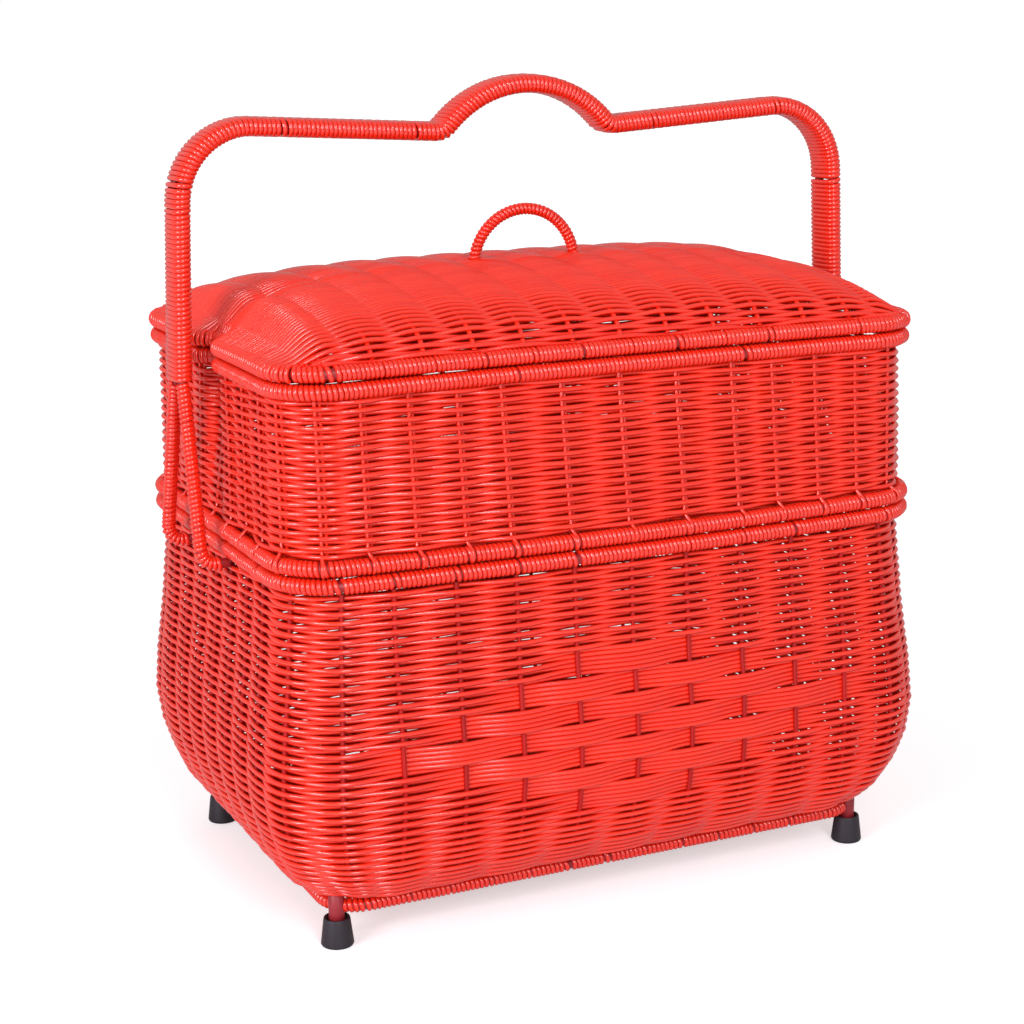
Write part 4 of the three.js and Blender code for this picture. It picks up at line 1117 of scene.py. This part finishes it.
def woven_floor(node, body, corner):
    low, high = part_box(node)
    middle = (low[2] + high[2]) / 2
    half_x = high[0] - STRAND_RADIUS
    half_y = high[1] - STRAND_RADIUS
    paths = []
    rows = int(2 * half_y / FLOOR_PITCH)
    for row in range(rows):
        y = -half_y + (row + 0.5) * 2 * half_y / rows
        reach = corner_edge(y, half_y, half_x, corner)
        x = np.linspace(-reach, reach, FLOOR_POINTS)
        points = np.column_stack([x, np.full_like(x, y), np.full_like(x, middle)])
        over = np.cos(math.pi * (x / FLOOR_ROD_GAP + row))
        paths.append((points, np.tile(UP, (FLOOR_POINTS, 1)), over, draw.random()))
    floor = lay_strands(node + "_weave", paths, rattan_red, closed=False, radius=FLOOR_STRAND,
                        depth=FLOOR_DEPTH, sway=0.0, seed=81.0)
    settle(floor, body, "weave", node)
    rods = []
    for k in range(-int(half_x / FLOOR_ROD_GAP), int(half_x / FLOOR_ROD_GAP) + 1):
        x = k * FLOOR_ROD_GAP
        reach = corner_edge(x, half_x, half_y, corner)
        y = np.linspace(-reach, reach, FLOOR_ROD_POINTS)
        points = np.column_stack([np.full_like(y, x), y, np.full_like(y, middle)])
        rods.append(still_path(points, draw.random()))
    # The rods take the stakes' darker red, which is painted shade.
    rod_piece = lay_strands(node + "_weave_rods", rods, shaded_stake_red, closed=False,
                            radius=FLOOR_ROD_RADIUS, sway=0.0, stray=0.0, seed=82.0)
    settle(rod_piece, body, "weave")
    paint_wires(node + "_wire_")


woven_floor("lower_floor", "basket", LOWER_FLOOR_CORNER)
woven_floor("tray_floor", "tray", TRAY_FLOOR_CORNER)

# Studio: a pale matt floor and a white surround that light the basket evenly, with one soft
# lamp at the left and one in front.
bpy.ops.mesh.primitive_plane_add(size=80, location=(0, 0, 0))
ground = bpy.context.object
ground.name = "studio_floor"
ground_paint = bpy.data.materials.new("pale floor")
ground_paint.use_nodes = True
ground_tree = ground_paint.node_tree
ground_shader = ground_tree.nodes["Principled BSDF"]
ground_shader.inputs["Base Color"].default_value = (0.8, 0.8, 0.8, 1)
ground_shader.inputs["Roughness"].default_value = 0.9
ground_shader.inputs["Specular IOR Level"].default_value = 0.0
GLOW_NEAR = 0.5
GLOW_FAR = 0.72
SKY_LEVEL = 0.52
SKY_SHINE = 0.5
STUDIO_MIDDLE = Vector((0, 0, 0.25))
seen = ground_tree.nodes.new("ShaderNodeLightPath").outputs["Is Camera Ray"]
spot = ground_tree.nodes.new("ShaderNodeTexCoord").outputs["Object"]
away_from_basket = wire_up(ground_tree, "ShaderNodeVectorMath", {0: spot}, operation="LENGTH")
glow = wire_up(ground_tree, "ShaderNodeMapRange", {
    "Value": away_from_basket.outputs["Value"], "From Min": 0.6, "From Max": 2.6,
    "To Min": GLOW_NEAR, "To Max": GLOW_FAR}, interpolation_type="SMOOTHSTEP")
lift = maths(ground_tree, "MULTIPLY", seen, glow.outputs["Result"])
ground_shader.inputs["Emission Color"].default_value = (1, 1, 1, 1)
ground_tree.links.new(lift, ground_shader.inputs["Emission Strength"])
ground.data.materials.append(ground_paint)

world = bpy.data.worlds.new("studio")
bpy.context.scene.world = world
world.use_nodes = True
sky = world.node_tree
sky_light = sky.nodes["Background"]
sky_light.inputs["Color"].default_value = (1, 1, 1, 1)
rays = sky.nodes.new("ShaderNodeLightPath")
shown = maths(sky, "MAXIMUM", rays.outputs["Is Camera Ray"], rays.outputs["Is Transmission Ray"])
shine = maths(sky, "MULTIPLY", rays.outputs["Is Glossy Ray"], SKY_SHINE)
level = maths(sky, "MAXIMUM", maths(sky, "MAXIMUM", shown, shine), SKY_LEVEL)
sky.links.new(level, sky_light.inputs["Strength"])


def studio_lamp(name, place, width, height, power, tint):
    data = bpy.data.lights.new(name, "AREA")
    data.shape = "RECTANGLE"
    data.size = width
    data.size_y = height
    data.energy = power
    data.color = tint
    lamp = bpy.data.objects.new(name, data)
    lamp.location = place
    lamp.rotation_euler = (STUDIO_MIDDLE - Vector(place)).to_track_quat("-Z", "Y").to_euler()
    bpy.context.scene.collection.objects.link(lamp)


studio_lamp("left_lamp", (-2.4, -1.15, 1.0), 1.1, 1.1, 45, (1.0, 0.95, 1.04))
studio_lamp("front_lamp", (-0.3, -2.4, 1.4), 0.7, 1.8, 35, (1.0, 0.96, 1.03))

# Camera: the photograph's viewpoint, solved from the object's own corners and rims, with a
# slight roll and a lens that gives the photograph's frame.
CAMERA_DISTANCE = 1.396
CAMERA_AZIMUTH = math.radians(-25.52)
CAMERA_ELEVATION = math.radians(12.61)
YAW = math.radians(-25.12)
PITCH = math.radians(13.80)
ROLL = math.radians(-0.64)
FOCAL_SHARE = 2156.88 / 1024
SENSOR_WIDTH = 36


def away(azimuth, elevation):
    return Vector((math.sin(azimuth) * math.cos(elevation),
                   -math.cos(azimuth) * math.cos(elevation), math.sin(elevation)))


backward = away(YAW, PITCH)
rightward = Vector((math.cos(YAW), math.sin(YAW), 0))
upward = backward.cross(rightward)
rolled_right = math.cos(ROLL) * rightward + math.sin(ROLL) * upward
rolled_up = math.cos(ROLL) * upward - math.sin(ROLL) * rightward
camera_data = bpy.data.cameras.new("camera")
camera_data.sensor_width = SENSOR_WIDTH
camera_data.lens = FOCAL_SHARE * SENSOR_WIDTH
camera = bpy.data.objects.new("camera", camera_data)
camera.location = STUDIO_MIDDLE + CAMERA_DISTANCE * away(CAMERA_AZIMUTH, CAMERA_ELEVATION)
camera.rotation_euler = Matrix((rolled_right, rolled_up, backward)).transposed().to_euler()
bpy.context.scene.collection.objects.link(camera)
bpy.context.scene.camera = camera

bpy.context.scene.view_settings.view_transform = "Standard"
